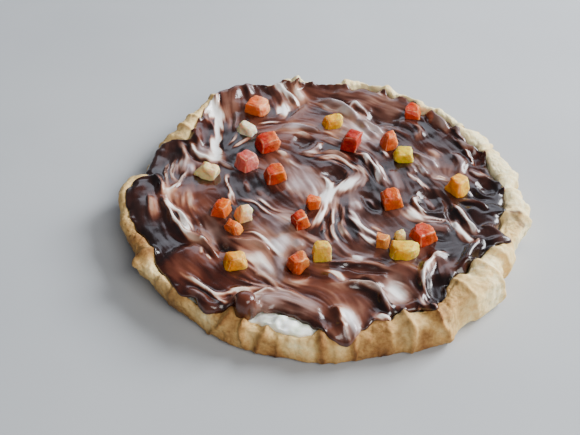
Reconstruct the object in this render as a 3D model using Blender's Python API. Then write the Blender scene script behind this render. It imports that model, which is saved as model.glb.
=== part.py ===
"""Chocolate tart: a hand-folded pastry shell filled with cream, a swirled chocolate topping
and candied fruit cubes pressed into it. Metres, +Z up, origin under the middle of the base.
The front of the tart, where the cream shows, faces -Y."""

import itertools
import math
import random

import bmesh
import bpy
from mathutils import Matrix, Vector
from mathutils.noise import noise

MM = 0.001
GAP = 0.3 * MM                # clearance kept between neighbouring pieces

# ---- driving dimensions, in millimetres ----
FLOOR_THICKNESS = 3.5
WALL_FOOT = 6.0               # height at which the wall's inside meets the floor's fillet
CREAM_LEVEL = 14.5            # top of the cream under the chocolate
TOPPING_LEVEL = 20.3          # mean top of the chocolate
EDGE_ROUND = 1.7              # drop of the chocolate's rounded edge
RIM_LEAST = 3.0               # thinnest pastry at the rim
RIM_PRESSED = 14.3            # where the rim is lower than this, the chocolate laps over it
GRID = 36                     # cells across the topping; the rim has four times as many steps
STEPS = 4 * GRID

# Foot of the shell, anticlockwise from +X: angle in degrees and radius in mm.
FOOT = [
    (0, 113.5), (25, 112.5), (45, 112), (90, 112), (135, 112), (180, 112), (205, 111), (215, 111.5),
    (225, 113), (236, 114.2), (242, 115.6), (256, 115.6), (265, 117), (275, 116), (283, 115.2),
    (289, 116.5), (294, 119.5), (299, 120.3), (303, 121.2), (307.5, 118.4), (311, 117.6),
    (315, 119.8), (320, 121), (325, 119.5), (330, 113.4), (335, 115.2), (342, 115.4), (352, 116),
]
# Rim of the shell: angle in degrees, outer radius and top height in mm.
RIM = [
    (3, 114.5, 20), (7, 120, 22), (10, 121.8, 22.5), (15, 121, 22.5), (19, 117, 22),
    (22, 112.5, 21), (25, 120, 22), (28, 122.4, 23), (31, 120.5, 23.5), (34.5, 110.9, 23),
    (37, 114.5, 24), (40, 117.2, 24.5), (45, 116.5, 24), (51.5, 112.5, 24), (57, 116.5, 25),
    (63, 118.4, 25), (70, 119, 24.5), (78, 122.5, 25), (84, 117.5, 24), (91, 116, 24),
    (94.5, 117, 25.5), (97.5, 118, 32.5), (100, 118, 28.5), (103, 117.5, 25.5), (107, 120, 25),
    (113, 123.6, 25.5),
    (119, 124, 25.5), (125, 124, 25.5), (130, 120.8, 25), (137, 118, 24.5), (142, 116, 23.5),
    (144, 113.8, 22.5), (147.5, 118.6, 20.5), (150, 118.2, 14.3), (152.5, 117.4, 13.8),
    (160, 114.8, 13.4), (167.5, 113.4, 13.7), (170, 113, 14.3), (172.5, 120.5, 19.5),
    (177, 122.3, 20), (185, 120.6, 19),
    (191, 120, 18.5), (196, 118.4, 18.5), (202, 116, 19), (206.5, 114, 19.5), (209.5, 120.8, 20),
    (213, 119.8, 19.5), (217, 118.4, 19), (224, 116.4, 18.5), (232, 115, 17.5), (240, 113.5, 16.5),
    (246, 113, 15.8), (255, 113.2, 15), (264, 114, 14.9), (274, 114, 15.2), (281, 114, 16.5),
    (288, 114, 19), (293, 117, 20.5), (298, 118.5, 20.5), (303, 118, 22), (307.5, 116, 23.5),
    (312, 117, 23.8), (318, 119, 23), (325, 117.5, 22), (330, 113.4, 21), (334, 116, 21),
    (338, 112, 18.5), (342, 117, 20), (350, 121, 20.5), (355, 122.6, 20.5), (359.5, 118.5, 20),
]
# Edge of the chocolate: angle in degrees, radius and top height in mm. Lobes lap at the rim.
EDGE = [
    (3, 107, 19.5), (7, 106.5, 20), (13, 106, 20), (20, 109, 20.5), (25, 108, 20.5),
    (31, 107, 21.5), (37, 108.5, 22), (43, 111, 22.5), (48, 113, 22.5), (52, 110, 22.5),
    (56, 113, 23), (60, 113.5, 23.5), (63, 111, 23), (67, 115.5, 23.5), (71, 118, 23.5),
    (75, 117, 23.5), (79, 113, 23), (86, 113, 23), (92, 114, 23.5), (94, 114, 23.5),
    (99, 110, 23), (103, 114, 23.5), (107, 113, 24), (111, 116.5, 24.5), (115, 117, 25),
    (118, 121, 25), (123, 120, 24.5), (128, 116, 23), (132, 113, 22), (138, 108, 21),
    (143, 104, 20.5), (147, 102, 20.5), (150, 112, 20), (152.5, 116, 19.4), (155, 116, 18.6),
    (160, 114.4, 18), (167, 112.8, 18), (171, 107.5, 19), (175, 115, 20), (179, 118, 20.5),
    (184, 116.5, 20), (190, 114.5, 19.5), (196, 112, 19), (202, 109, 19.5), (208, 108.5, 20), (213, 111.5, 20),
    (219, 112, 19.5), (226, 112.5, 19), (232, 112.5, 18.5), (237, 111.5, 18), (240, 107, 18),
    (242, 102.5, 18.5), (244, 105, 18.5), (247, 106.5, 18.5), (250, 101, 19), (254, 99.5, 19),
    (259, 100.5, 19), (263, 103, 18.5), (266, 106, 18), (270, 110, 17), (276, 110.5, 17),
    (279, 108, 17.5), (283, 103.5, 18), (287, 106, 19), (290, 103, 19), (295, 105.5, 20),
    (299, 108.5, 20), (303, 107, 19.5), (309, 101, 19), (315, 99, 19.5), (318, 102, 20),
    (322, 100, 20), (329, 102, 20), (333, 106.5, 20), (337, 108, 19), (341, 104, 20),
    (346, 105.5, 20), (350, 103, 20), (356, 107.5, 19.5),
]
# The window at the front where the cream swells between the chocolate and the rim.
CREAM_WINDOW = {"middle": 257.0, "half": 10.0, "width": 8.6, "swell": 3.1}
# Creases where the rim was pinched: angle at the rim, slant down the wall, depth, half width.
CREASES = [
    (2.5, 2, 1.6, 3.0), (22.5, -3, 1.6, 3.0), (35, 2, 1.6, 3.0), (52.5, 0, 1.2, 3.5),
    (142.5, -4, 1.6, 3.5), (207.5, 5, 1.6, 3.0), (240, -3, 2.6, 3.0), (245, 2, 2.2, 2.8),
    (252.5, -2, 2.6, 3.0), (267.5, -1, 2.4, 2.8), (277.5, 0, 1.6, 3.0), (290, 1, 2.0, 3.0),
    (307.5, 2, 2.8, 3.0), (330, 4, 2.6, 3.0), (337.5, 3, 2.4, 3.0), (350, -2, 2.0, 2.8),
]
# Folded tongues and rolls that swell out between creases: angle, half width and swell in mm.
ROLLS = [
    (249, 3.5, 2.0), (260, 6.5, 1.4), (272.5, 4.5, 1.2), (283, 5.0, 1.2), (299, 7.0, 2.2),
    (319, 9.0, 2.2), (334, 3.5, 1.4), (343, 5.5, 1.4), (356, 5.5, 1.2), (11, 6.5, 1.2),
    (28, 5.0, 1.4), (42, 6.0, 1.0), (77, 5.0, 1.0), (213, 6.0, 1.0), (226, 9.0, 0.8),
]
# Ridges and hollows that the spatula left: height, half width, then points along it in mm.
SWIRLS = [
    (1.9, 6, [(-101, 14), (-97, 0), (-91, -12), (-84, -25), (-77, -38)]),
    (-1.8, 9, [(-84, 4), (-76, -14), (-68, -30), (-58, -48)]),
    (1.7, 12, [(-88, -48), (-74, -60), (-60, -68), (-44, -74)]),
    (-1.9, 6, [(-78, -77), (-66, -82), (-54, -86), (-42, -80)]),
    (1.4, 7, [(-45, -90), (-30, -87), (-12, -91), (4, -98)]),
    (2.2, 6, [(8, -96), (12, -106)]),
    (1.8, 6, [(-10, -77), (8, -79), (24, -84), (32, -93)]),
    (-2.0, 9, [(34, -72), (40, -84), (44, -92)]),
    (-1.7, 6, [(0, -66), (16, -65), (32, -69)]),
    (1.9, 7, [(72, -50), (60, -56), (53, -70), (51, -86)]),
    (-2.2, 8, [(66, -72), (58, -84), (56, -98)]),
    (-2.1, 9, [(64, -6), (62, -16), (68, -22)]),
    (2.0, 6, [(72, 4), (75, -14), (76, -30), (84, -42)]),
    (1.6, 6, [(64, -50), (80, -44), (94, -40)]),
    (2.1, 7, [(-4, 99), (10, 92), (22, 85), (30, 70), (45, 57)]),
    (-1.9, 9, [(28, 80), (42, 77), (56, 80)]),
    (2.0, 6, [(68, 86), (78, 74), (83, 56), (88, 44)]),
    (-2.3, 11, [(-2, 22), (10, 20), (20, 10)]),
    (1.9, 6, [(-34, 38), (-10, 36), (14, 34), (27, 24), (30, 8), (20, -8), (12, -20)]),
    (1.8, 6, [(22, 40), (30, 32), (36, 20), (38, 6)]),
    (-1.7, 9, [(-73, 98), (-70, 80), (-68, 62), (-68, 42)]),
    (1.9, 7, [(-82, 76), (-80, 62), (-84, 46), (-76, 34)]),
    (1.4, 6, [(-60, 22), (-57, 8), (-52, -8)]),
    (2.0, 6, [(60, 40), (67, 28), (74, 18)]),
    (1.8, 7, [(94, 42), (98, 30), (96, 18)]),
    (-1.9, 6, [(92, 10), (99, 4), (93, -3)]),
    (-1.5, 8, [(-20, 102), (-15, 90)]),
    (1.5, 7, [(-46, -38), (-34, -44), (-25, -58)]),
]
# Candied fruit: name, centre x and y, width, depth, height in mm, turn and lean in degrees.
FRUIT = [
    ("orange_01", -42, 86, 15, 12.5, 9.6, -36, 4),
    ("pale_02", -47.5, 63.5, 12.5, 9, 7.8, -38, 6),
    ("red_03", -34.4, 47, 15.2, 12.4, 10.2, 28, 3),
    ("pink_04", -47, 25.5, 11.8, 11.8, 10.6, 42, 4),
    ("orange_05", -29, 15, 13, 12, 10, 22, 3),
    ("pale_06", -71, 18.5, 15, 9.5, 8.6, -34, 6),
    ("orange_07", -60.5, -18, 11, 11, 11, -24, 5),
    ("peach_08", -46.8, -22.5, 9.6, 10, 10, 28, 4),
    ("orange_09", -52.2, -34.2, 10.5, 7.6, 7.6, -30, 5),
    ("yellow_10", -50, -62, 12.2, 10.4, 9.4, 16, 4),
    ("orange_11", -15.8, -62.5, 11.5, 10, 9.2, 40, 5),
    ("pale_12", -2.8, -57.5, 11, 7.5, 12.6, 2, 3),
    ("red_13", -14, -28.6, 10.5, 9.5, 10.4, 30, 6),
    ("peach_14", -6, -12, 8.6, 7.2, 8.6, 4, 7),
    ("yellow_15", 8, 71, 12.5, 10, 9, 22, 4),
    ("red_16", 19, 47.6, 11.6, 13.8, 11, -24, 5),
    ("orange_17", 42.6, 47.6, 9.5, 10, 12, 18, 4),
    ("yellow_18", 50.6, 34.5, 12.8, 11.6, 8, 2, 2),
    ("orange_19", 61.2, 80, 11.2, 12, 9.8, -8, 3),
    ("yellow_20", 80.6, 3.2, 12.5, 11.5, 10, 42, 4),
    ("orange_21", 40.2, -10.4, 13, 11.4, 11.2, 12, 5),
    ("red_22", 55.2, -40.4, 13.2, 12.6, 9, 34, 5),
    ("yellow_23", 43.6, -53.4, 17, 11.6, 9, -6, 4),
    ("orange_24", 32, -46.2, 7.2, 8.2, 8.4, -12, 4),
    ("pale_25", 41.8, -41.4, 7, 5.4, 7, 24, 3),
]
FRUIT_SINK = 1.7              # how deep a fruit cube is pressed into the chocolate
FRUIT_BEVEL = 0.9

COLOURS = {                   # name: linear RGB, roughness
    "pastry": ((0.56, 0.36, 0.15), 0.75),
    "cream": ((0.86, 0.80, 0.68), 0.45),
    "chocolate": ((0.085, 0.036, 0.024), 0.25),
    "orange": ((0.72, 0.17, 0.02), 0.35),
    "red": ((0.60, 0.07, 0.02), 0.35),
    "pink": ((0.58, 0.16, 0.11), 0.40),
    "peach": ((0.78, 0.34, 0.10), 0.35),
    "yellow": ((0.72, 0.40, 0.05), 0.35),
    "pale": ((0.72, 0.52, 0.22), 0.40),
}


def clear_scene():
    for item in list(bpy.data.objects):
        bpy.data.objects.remove(item)


def collection(name):
    made = bpy.data.collections.new(name)
    bpy.context.scene.collection.children.link(made)
    return made


def material(name):
    """A Principled BSDF with one of the colours above."""
    found = bpy.data.materials.get(name)
    if found:
        return found
    colour, roughness = COLOURS[name]
    made = bpy.data.materials.new(name)
    made.use_nodes = True
    shader = made.node_tree.nodes["Principled BSDF"]
    shader.inputs["Base Color"].default_value = (*colour, 1)
    shader.inputs["Roughness"].default_value = roughness
    made.diffuse_color = (*colour, 1)
    return made


def add_object(name, mesh, where, material_name):
    made = bpy.data.objects.new(name, mesh)
    made.data.materials.append(material(material_name))
    where.objects.link(made)
    return made


# ---- functions of the angle round the tart ----
def turn(a, b):
    """Signed angle from b to a, in degrees, between -180 and 180."""
    return (a - b + 180) % 360 - 180


def keyed(keys, angle, column=1):
    """Value at an angle of a closed list of keys, eased between neighbours."""
    angle %= 360
    for first, second in zip(keys, keys[1:] + keys[:1]):
        span = (second[0] - first[0]) % 360
        along = (angle - first[0]) % 360
        if along <= span:
            t = along / span
            t = t * t * (3 - 2 * t)
            return first[column] + (second[column] - first[column]) * t
    return keys[0][column]


def bump(distance, half_width):
    """1 in the middle, 0 from one half width on, smooth in between."""
    x = min(1.0, abs(distance) / half_width)
    return (1 - x * x) ** 2


def window(angle):
    """How far the cream window is open at an angle, 0 to 1."""
    return bump(turn(angle, CREAM_WINDOW["middle"]), CREAM_WINDOW["half"]) ** 0.5


def rolled(angle):
    """How far the folded rolls swell out at an angle, in mm."""
    return sum(out * bump(turn(angle, middle), half) for middle, half, out in ROLLS)


def rim_radius(angle):
    return keyed(RIM, angle) + 0.3 * rolled(angle)


def rim_height(angle):
    return keyed(RIM, angle, 2) + 0.2 * rolled(angle)


def inner_radius(angle):
    """Inside of the shell, where the filling ends."""
    wall = rim_radius(angle) - RIM_LEAST - crease(angle, 0.3)
    return min(keyed(EDGE, angle) + CREAM_WINDOW["width"] * window(angle) + GAP / MM, wall)


def edge_radius(angle):
    """Radius of the chocolate's edge: inside the rim, or over it where the rim is pressed low."""
    inside = inner_radius(angle) - CREAM_WINDOW["width"] * window(angle) - GAP / MM
    lap = max(0.0, min(1.0, (RIM_PRESSED - rim_height(angle)) / 0.5))
    return inside + lap * (min(keyed(EDGE, angle), rim_radius(angle)) - inside)


def wall_inside(angle, z):
    """Inside radius of the shell's wall at a height, sloping out from its foot to the rim."""
    inside = inner_radius(angle)
    foot = min(inside, keyed(FOOT, angle) - 4.0)
    rise = max(0.0, min(1.0, (z - WALL_FOOT) / (CREAM_LEVEL - WALL_FOOT)))
    return foot + (inside - foot) * rise


def crease(angle, down):
    """Depth of the pinches at an angle; down is 0 at the rim and 1 at the foot of the wall."""
    fade = 1 - 0.75 * down
    return fade * sum(
        depth * bump(turn(angle, middle + slant * down), half)
        for middle, slant, depth, half in CREASES
    )


def polar(angle, radius, z):
    """A point in metres from degrees and millimetres."""
    a = math.radians(angle)
    return Vector((radius * math.cos(a), radius * math.sin(a), z)) * MM


# ---- the topping's surface ----
def along(points, x, y):
    """Distance from (x, y) to a broken line, and the share of its length there."""
    best, where = 1e9, 0.0
    for i, (first, second) in enumerate(zip(points, points[1:])):
        run = Vector(second) - Vector(first)
        t = max(0.0, min(1.0, (Vector((x, y)) - Vector(first)).dot(run) / run.length_squared))
        away = (Vector((x, y)) - Vector(first) - run * t).length
        if away < best:
            best, where = away, (i + t) / (len(points) - 1)
    return best, where


def topping_height(angle, share):
    """Top of the chocolate; share is 0 in the middle of the tart and 1 at the topping's edge."""
    x, y, _ = polar(angle, share * edge_radius(angle), 0) / MM
    rise = keyed(EDGE, angle, 2) - TOPPING_LEVEL
    z = TOPPING_LEVEL + rise * share**5 + 0.8 * noise(Vector((x / 34, y / 34, 3.0)))
    for height, half, points in SWIRLS:
        away, where = along(points, x, y)
        if away < half:
            z += height * bump(away, half) * (0.6 + 0.4 * math.sin(math.pi * where))
    fall = max(0.0, (share - 0.94) / 0.06)
    return z - EDGE_ROUND * (1 - math.sqrt(1 - min(1.0, fall) ** 2))


def disc_grid(cells):
    """Angle and share of the radius for each corner of a square grid wrapped onto a disc."""
    rows = []
    for j in range(cells + 1):
        row = []
        for i in range(cells + 1):
            u, v = 2 * i / cells - 1, 2 * j / cells - 1
            share = max(abs(u), abs(v))
            if share == 0:
                angle = 0.0
            elif abs(u) >= abs(v):
                angle = 45 * v / u + (0 if u > 0 else 180)
            else:
                angle = 90 - 45 * u / v + (0 if v > 0 else 180)
            row.append((angle, share))
        rows.append(row)
    return rows


# ---- solids ----
def lofted(name, rings, where, material_name):
    """A closed solid through rings of points, shut by a fan at the first and the last point."""
    made = bmesh.new()
    loops = [[made.verts.new(p) for p in ring] for ring in rings[1:-1]]
    first, last = made.verts.new(rings[0]), made.verts.new(rings[-1])
    steps = len(loops[0])
    for k in range(steps):
        n = (k + 1) % steps
        made.faces.new((first, loops[0][k], loops[0][n]))
        made.faces.new((last, loops[-1][n], loops[-1][k]))
        for low, high in zip(loops, loops[1:]):
            made.faces.new((low[k], high[k], high[n], low[n]))
    bmesh.ops.recalc_face_normals(made, faces=made.faces)
    mesh = bpy.data.meshes.new(name)
    made.to_mesh(mesh)
    made.free()
    mesh.shade_smooth()
    mesh.set_sharp_from_angle(angle=math.radians(50))
    return add_object(name, mesh, where, material_name)


def angles():
    """The angles of the topping grid's own outline, so that neighbouring pieces line up."""
    return [-45 + 90 * k / GRID for k in range(STEPS)]


def build_shell(where):
    """Pastry floor, flared wall and folded rim, lofted through unlike sections."""
    rings = [[] for _ in range(10)]
    for angle in angles():
        inside, outside = inner_radius(angle), rim_radius(angle)
        base, top = keyed(FOOT, angle), rim_height(angle)
        width = outside - inside
        low = min(top - 2.0, CREAM_LEVEL)
        section = [
            (wall_inside(angle, 0) - 2.5, FLOOR_THICKNESS),
            (wall_inside(angle, 0), WALL_FOOT),
            (wall_inside(angle, low), low),
            (inside + 0.20 * width, top - 0.9 - 0.4 * crease(angle, 0)),
            (inside + 0.55 * width, top - 0.8 * crease(angle, 0)),
            (inside + 0.90 * width - 0.5 * crease(angle, 0.1), top - 1.6),
            (outside - crease(angle, 0.3), 0.66 * top),
            (0.5 * (outside + base) - crease(angle, 0.6), 0.34 * top),
            (base - crease(angle, 1), 1.6),
            (base - 1.6, 0.0),
        ]
        for ring, (radius, z) in zip(rings, section):
            ring.append(polar(angle, radius, z))
    middle = Vector((0, 0, 0))
    points = [middle + Vector((0, 0, FLOOR_THICKNESS * MM)), *rings, middle]
    return lofted("pastry_shell", points, where, "pastry")


def build_cream(where):
    """Cream filling, which swells up at the rim where the chocolate leaves it bare."""
    gap = GAP / MM
    rings = [[] for _ in range(5)]
    for angle in angles():
        edge, wide = edge_radius(angle), CREAM_WINDOW["width"] * window(angle)
        swell = CREAM_WINDOW["swell"] * max(0.0, window(angle) - 0.25) / 0.75
        shoulder = CREAM_LEVEL - 1.5 + 0.5 * swell
        section = [
            (wall_inside(angle, 0) - 3.2, FLOOR_THICKNESS + gap),
            (wall_inside(angle, 0) - gap, WALL_FOOT + 0.7),
            (wall_inside(angle, shoulder) - 2 * gap, shoulder),
            (edge - 0.8 + 0.6 * wide, CREAM_LEVEL + swell),
            (edge - 1.2 + min(1.6, wide), CREAM_LEVEL),
        ]
        for ring, (radius, z) in zip(rings, section):
            ring.append(polar(angle, radius, z))
    points = [
        Vector((0, 0, FLOOR_THICKNESS * MM + GAP)),
        *rings,
        Vector((0, 0, CREAM_LEVEL * MM)),
    ]
    return lofted("cream_filling", points, where, "cream")


def build_topping(where, cutters):
    """Swirled chocolate with a rounded edge and a seat for each fruit cube."""
    made = bmesh.new()
    top = {}
    grid = disc_grid(GRID)
    for j, row in enumerate(grid):
        for i, (angle, share) in enumerate(row):
            radius = share * edge_radius(angle)
            top[i, j] = made.verts.new(polar(angle, radius, topping_height(angle, share)))
    for j in range(GRID):
        for i in range(GRID):
            made.faces.new((top[i, j], top[i + 1, j], top[i + 1, j + 1], top[i, j + 1]))
    last = range(GRID)
    outline = [(i, 0) for i in last] + [(GRID, j) for j in last]
    outline += [(GRID - i, GRID) for i in last] + [(0, GRID - j) for j in last]
    under = CREAM_LEVEL * MM + GAP
    foot = [made.verts.new((*top[key].co.xy, under)) for key in outline]
    for k, key in enumerate(outline):
        n = (k + 1) % len(outline)
        made.faces.new((top[key], foot[k], foot[n], top[outline[n]]))
    made.faces.new(foot[::-1])
    bmesh.ops.recalc_face_normals(made, faces=made.faces)
    mesh = bpy.data.meshes.new("chocolate_topping")
    made.to_mesh(mesh)
    made.free()
    mesh.shade_smooth()
    mesh.set_sharp_from_angle(angle=math.radians(50))
    topping = add_object("chocolate_topping", mesh, where, "chocolate")
    seats = topping.modifiers.new("fruit_seats", "BOOLEAN")
    seats.operation = "DIFFERENCE"
    seats.solver = "EXACT"
    seats.operand_type = "COLLECTION"
    seats.collection = cutters
    return topping


def fruit_mesh(name, size, seed, bevel, grow=0.0):
    """A knife-cut block with uneven corners and worn edges, grown by a margin on every side."""
    draw = random.Random(seed)
    made = bmesh.new()
    for signs in itertools.product((-1, 1), repeat=3):
        half = [extent * draw.uniform(0.42, 0.5) + grow for extent in size]
        for proud in range(3 if bevel else 1):
            reach = [half[k] if k == proud else half[k] - bevel for k in range(3)]
            made.verts.new([sign * length * MM for sign, length in zip(signs, reach)])
    bmesh.ops.convex_hull(made, input=made.verts)
    bmesh.ops.recalc_face_normals(made, faces=made.faces)
    mesh = bpy.data.meshes.new(name)
    made.to_mesh(mesh)
    made.free()
    return mesh


def build_fruit(where, cutters):
    """Every fruit cube, and the slightly larger block that cuts its seat in the chocolate."""
    for seed, (name, x, y, width, depth, height, yaw, lean) in enumerate(FRUIT, 1):
        angle = math.degrees(math.atan2(y, x))
        ground = topping_height(angle, math.hypot(x, y) / edge_radius(angle))
        place = Matrix.Translation(Vector((x, y, ground + height / 2 - FRUIT_SINK)) * MM)
        place @= Matrix.Rotation(math.radians(yaw), 4, "Z")
        place @= Matrix.Rotation(math.radians(lean), 4, "X" if seed % 2 else "Y")
        size = (width, depth, height)
        colour = name.split("_")[0]
        shape = fruit_mesh(name, size, seed, FRUIT_BEVEL)
        block = add_object(f"fruit_{name}", shape, where, colour)
        block.matrix_world = place
        shape = fruit_mesh(f"seat_{name}", size, seed, 0, GAP / MM)
        seat = add_object(f"seat_{name}", shape, cutters, colour)
        seat.matrix_world = place
        seat.hide_render = True
        seat.display_type = "WIRE"


def main():
    clear_scene()
    tart = collection("chocolate_tart")
    cutters = collection("cutters")
    build_shell(tart)
    build_cream(tart)
    build_fruit(tart, cutters)
    build_topping(tart, cutters)


main()
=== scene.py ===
"""Looks of the chocolate tart: folded pastry, cream, marbled chocolate and candied fruit.

Lengths are in millimetres, those of the floor, light and camera in metres. Angles are in
degrees, round the tart anticlockwise from +X as seen from above.
"""

import itertools
import math
import random

import bmesh
import bpy
import numpy as np
from mathutils import Matrix, Vector
from mathutils.bvhtree import BVHTree


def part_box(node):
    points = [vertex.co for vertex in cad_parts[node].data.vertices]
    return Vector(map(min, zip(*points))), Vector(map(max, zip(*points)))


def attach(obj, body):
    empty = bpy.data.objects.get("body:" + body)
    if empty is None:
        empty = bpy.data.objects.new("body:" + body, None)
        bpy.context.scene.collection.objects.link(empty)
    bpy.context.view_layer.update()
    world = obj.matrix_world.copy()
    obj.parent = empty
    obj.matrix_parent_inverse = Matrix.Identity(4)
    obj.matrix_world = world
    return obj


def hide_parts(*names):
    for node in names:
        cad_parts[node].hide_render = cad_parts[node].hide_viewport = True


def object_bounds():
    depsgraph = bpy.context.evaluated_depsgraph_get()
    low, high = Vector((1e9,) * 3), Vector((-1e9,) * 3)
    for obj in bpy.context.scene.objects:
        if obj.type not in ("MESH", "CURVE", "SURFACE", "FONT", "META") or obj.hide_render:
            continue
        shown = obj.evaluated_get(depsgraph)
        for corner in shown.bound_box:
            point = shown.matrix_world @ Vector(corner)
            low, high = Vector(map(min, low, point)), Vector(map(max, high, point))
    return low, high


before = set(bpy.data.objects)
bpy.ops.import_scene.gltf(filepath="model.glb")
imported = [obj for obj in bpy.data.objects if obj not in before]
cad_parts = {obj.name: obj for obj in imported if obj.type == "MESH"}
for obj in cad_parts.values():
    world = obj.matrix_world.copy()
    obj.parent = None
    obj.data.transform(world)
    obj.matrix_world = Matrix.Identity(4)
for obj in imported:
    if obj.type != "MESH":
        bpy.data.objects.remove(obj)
cad_low, cad_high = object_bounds()

MM = 0.001
FLOOR_THICKNESS = 3.5
WALL_FOOT = 6.0               # height at which the wall's inside meets the floor's fillet
CREAM_LEVEL = 14.5
TOPPING_LEVEL = 20.3
RIM_LEAST = 3.0               # least width of the rim
RIM_PRESSED = 14.3            # where the rim is lower than this, the chocolate laps over it
EDGE_GAP = 0.3                # between the chocolate's edge and the inside of the wall

PROUD = 1.2                   # how far the crust's folds may stand out from the solids
DRAPE_SHARE = 0.88            # share of its radius from which the chocolate can lie on the crust
LIP_SHARE = 0.955             # share of its radius from which the chocolate's lip falls away
SKIRT_SHARE = 0.985           # the skirt under the chocolate's outline, as a share of its radius
SKIRT_DEPTH = 2.0
BED_HEIGHT = 1.9              # how far the chocolate rises against the foot of the fruit
BED_HALF = 13.0
KNIFE_CUTS = 7                # cuts on each cube of fruit

PASTRY_STEPS = 1260           # points round the crust
PASTRY_SPAN = 7               # rings in each span of the crust's section
CREAM_STEPS = 900
CREAM_SPAN = 6
CHOCOLATE_CELLS = 312         # cells across the chocolate, a square grid wrapped onto a disc
LIFT_ROUNDS = 14              # cells by which a lift over the crust spreads inwards
FRUIT_CELLS = 20              # cells along each edge of a cube of fruit
FIELD_HALF = 124.0            # half the side of the square fields of the marbling
FIELD_CELLS = 560
STROKE_STEPS = 6              # steps in each span of a stroke
DRAG_STEP = 0.5               # step with which the marbling is drawn out along its flow
STREAK_DRAG = 9.0             # how far its streaks, its tone and its relief are drawn out
TONE_DRAG = 5.0
RELIEF_DRAG = 3.0
THIN_WIDTH = 1.2              # strokes no wider and no darker than this stay sharp
THIN_TONE = 0.5

# ---- forms of the solids, as in the part's own source ----
# Foot of the shell: angle and radius.
FOOT = [
    (0, 113.5), (25, 112.5), (45, 112), (90, 112), (135, 112), (180, 112), (205, 111), (215, 111.5),
    (225, 113), (236, 114.2), (242, 115.6), (256, 115.6), (265, 117), (275, 116), (283, 115.2),
    (289, 116.5), (294, 119.5), (299, 120.3), (303, 121.2), (307.5, 118.4), (311, 117.6),
    (315, 119.8), (320, 121), (325, 119.5), (330, 113.4), (335, 115.2), (342, 115.4), (352, 116),
]
# Rim of the shell: angle, outer radius and height of its top.
RIM = [
    (3, 114.5, 20), (7, 120, 22), (10, 121.8, 22.5), (15, 121, 22.5), (19, 117, 22),
    (22, 112.5, 21), (25, 120, 22), (28, 122.4, 23), (31, 120.5, 23.5), (34.5, 110.9, 23),
    (37, 114.5, 24), (40, 117.2, 24.5), (45, 116.5, 24), (51.5, 112.5, 24), (57, 116.5, 25),
    (63, 118.4, 25), (70, 119, 24.5), (78, 122.5, 25), (84, 117.5, 24), (91, 116, 24),
    (94.5, 117, 25.5), (97.5, 118, 32.5), (100, 118, 28.5), (103, 117.5, 25.5), (107, 120, 25),
    (113, 123.6, 25.5), (119, 124, 25.5), (125, 124, 25.5), (130, 120.8, 25), (137, 118, 24.5),
    (142, 116, 23.5), (144, 113.8, 22.5), (147.5, 118.6, 20.5), (150, 118.2, 14.3),
    (152.5, 117.4, 13.8), (160, 114.8, 13.4), (167.5, 113.4, 13.7), (170, 113, 14.3),
    (172.5, 120.5, 19.5), (177, 122.3, 20), (185, 120.6, 19), (191, 120, 18.5), (196, 118.4, 18.5),
    (202, 116, 19), (206.5, 114, 19.5), (209.5, 120.8, 20), (213, 119.8, 19.5), (217, 118.4, 19),
    (224, 116.4, 18.5), (232, 115, 17.5), (240, 113.5, 16.5), (246, 113, 15.8), (255, 113.2, 15),
    (264, 114, 14.9), (274, 114, 15.2), (281, 114, 16.5), (288, 114, 19), (293, 117, 20.5),
    (298, 118.5, 20.5), (303, 118, 22), (307.5, 116, 23.5), (312, 117, 23.8), (318, 119, 23),
    (325, 117.5, 22), (330, 113.4, 21), (334, 116, 21), (338, 112, 18.5), (342, 117, 20),
    (350, 121, 20.5), (355, 122.6, 20.5), (359.5, 118.5, 20),
]
# Edge of the chocolate: angle, radius and height of its top. Lobes lap at the rim.
EDGE = [
    (3, 107, 19.5), (7, 106.5, 20), (13, 106, 20), (20, 109, 20.5), (25, 108, 20.5),
    (31, 107, 21.5), (37, 108.5, 22), (43, 111, 22.5), (48, 113, 22.5), (52, 110, 22.5),
    (56, 113, 23), (60, 113.5, 23.5), (63, 111, 23), (67, 115.5, 23.5), (71, 118, 23.5),
    (75, 117, 23.5), (79, 113, 23), (86, 113, 23), (92, 114, 23.5), (94, 114, 23.5), (99, 110, 23),
    (103, 114, 23.5), (107, 113, 24), (111, 116.5, 24.5), (115, 117, 25), (118, 121, 25),
    (123, 120, 24.5), (128, 116, 23), (132, 113, 22), (138, 108, 21), (143, 104, 20.5),
    (147, 102, 20.5), (150, 112, 20), (152.5, 116, 19.4), (155, 116, 18.6), (160, 114.4, 18),
    (167, 112.8, 18), (171, 107.5, 19), (175, 115, 20), (179, 118, 20.5), (184, 116.5, 20),
    (190, 114.5, 19.5), (196, 112, 19), (202, 109, 19.5), (208, 108.5, 20), (213, 111.5, 20),
    (219, 112, 19.5), (226, 112.5, 19), (232, 112.5, 18.5), (237, 111.5, 18), (240, 107, 18),
    (242, 102.5, 18.5), (244, 105, 18.5), (247, 106.5, 18.5), (250, 101, 19), (254, 99.5, 19),
    (259, 100.5, 19), (263, 103, 18.5), (266, 106, 18), (270, 110, 17), (276, 110.5, 17),
    (279, 108, 17.5), (283, 103.5, 18), (287, 106, 19), (290, 103, 19), (295, 105.5, 20),
    (299, 108.5, 20), (303, 107, 19.5), (309, 101, 19), (315, 99, 19.5), (318, 102, 20),
    (322, 100, 20), (329, 102, 20), (333, 106.5, 20), (337, 108, 19), (341, 104, 20),
    (346, 105.5, 20), (350, 103, 20), (356, 107.5, 19.5),
]
# The window at the front where the cream swells between the chocolate and the rim.
CREAM_WINDOW = {"middle": 257.0, "half": 10.0, "width": 8.6, "swell": 3.1}
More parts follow.
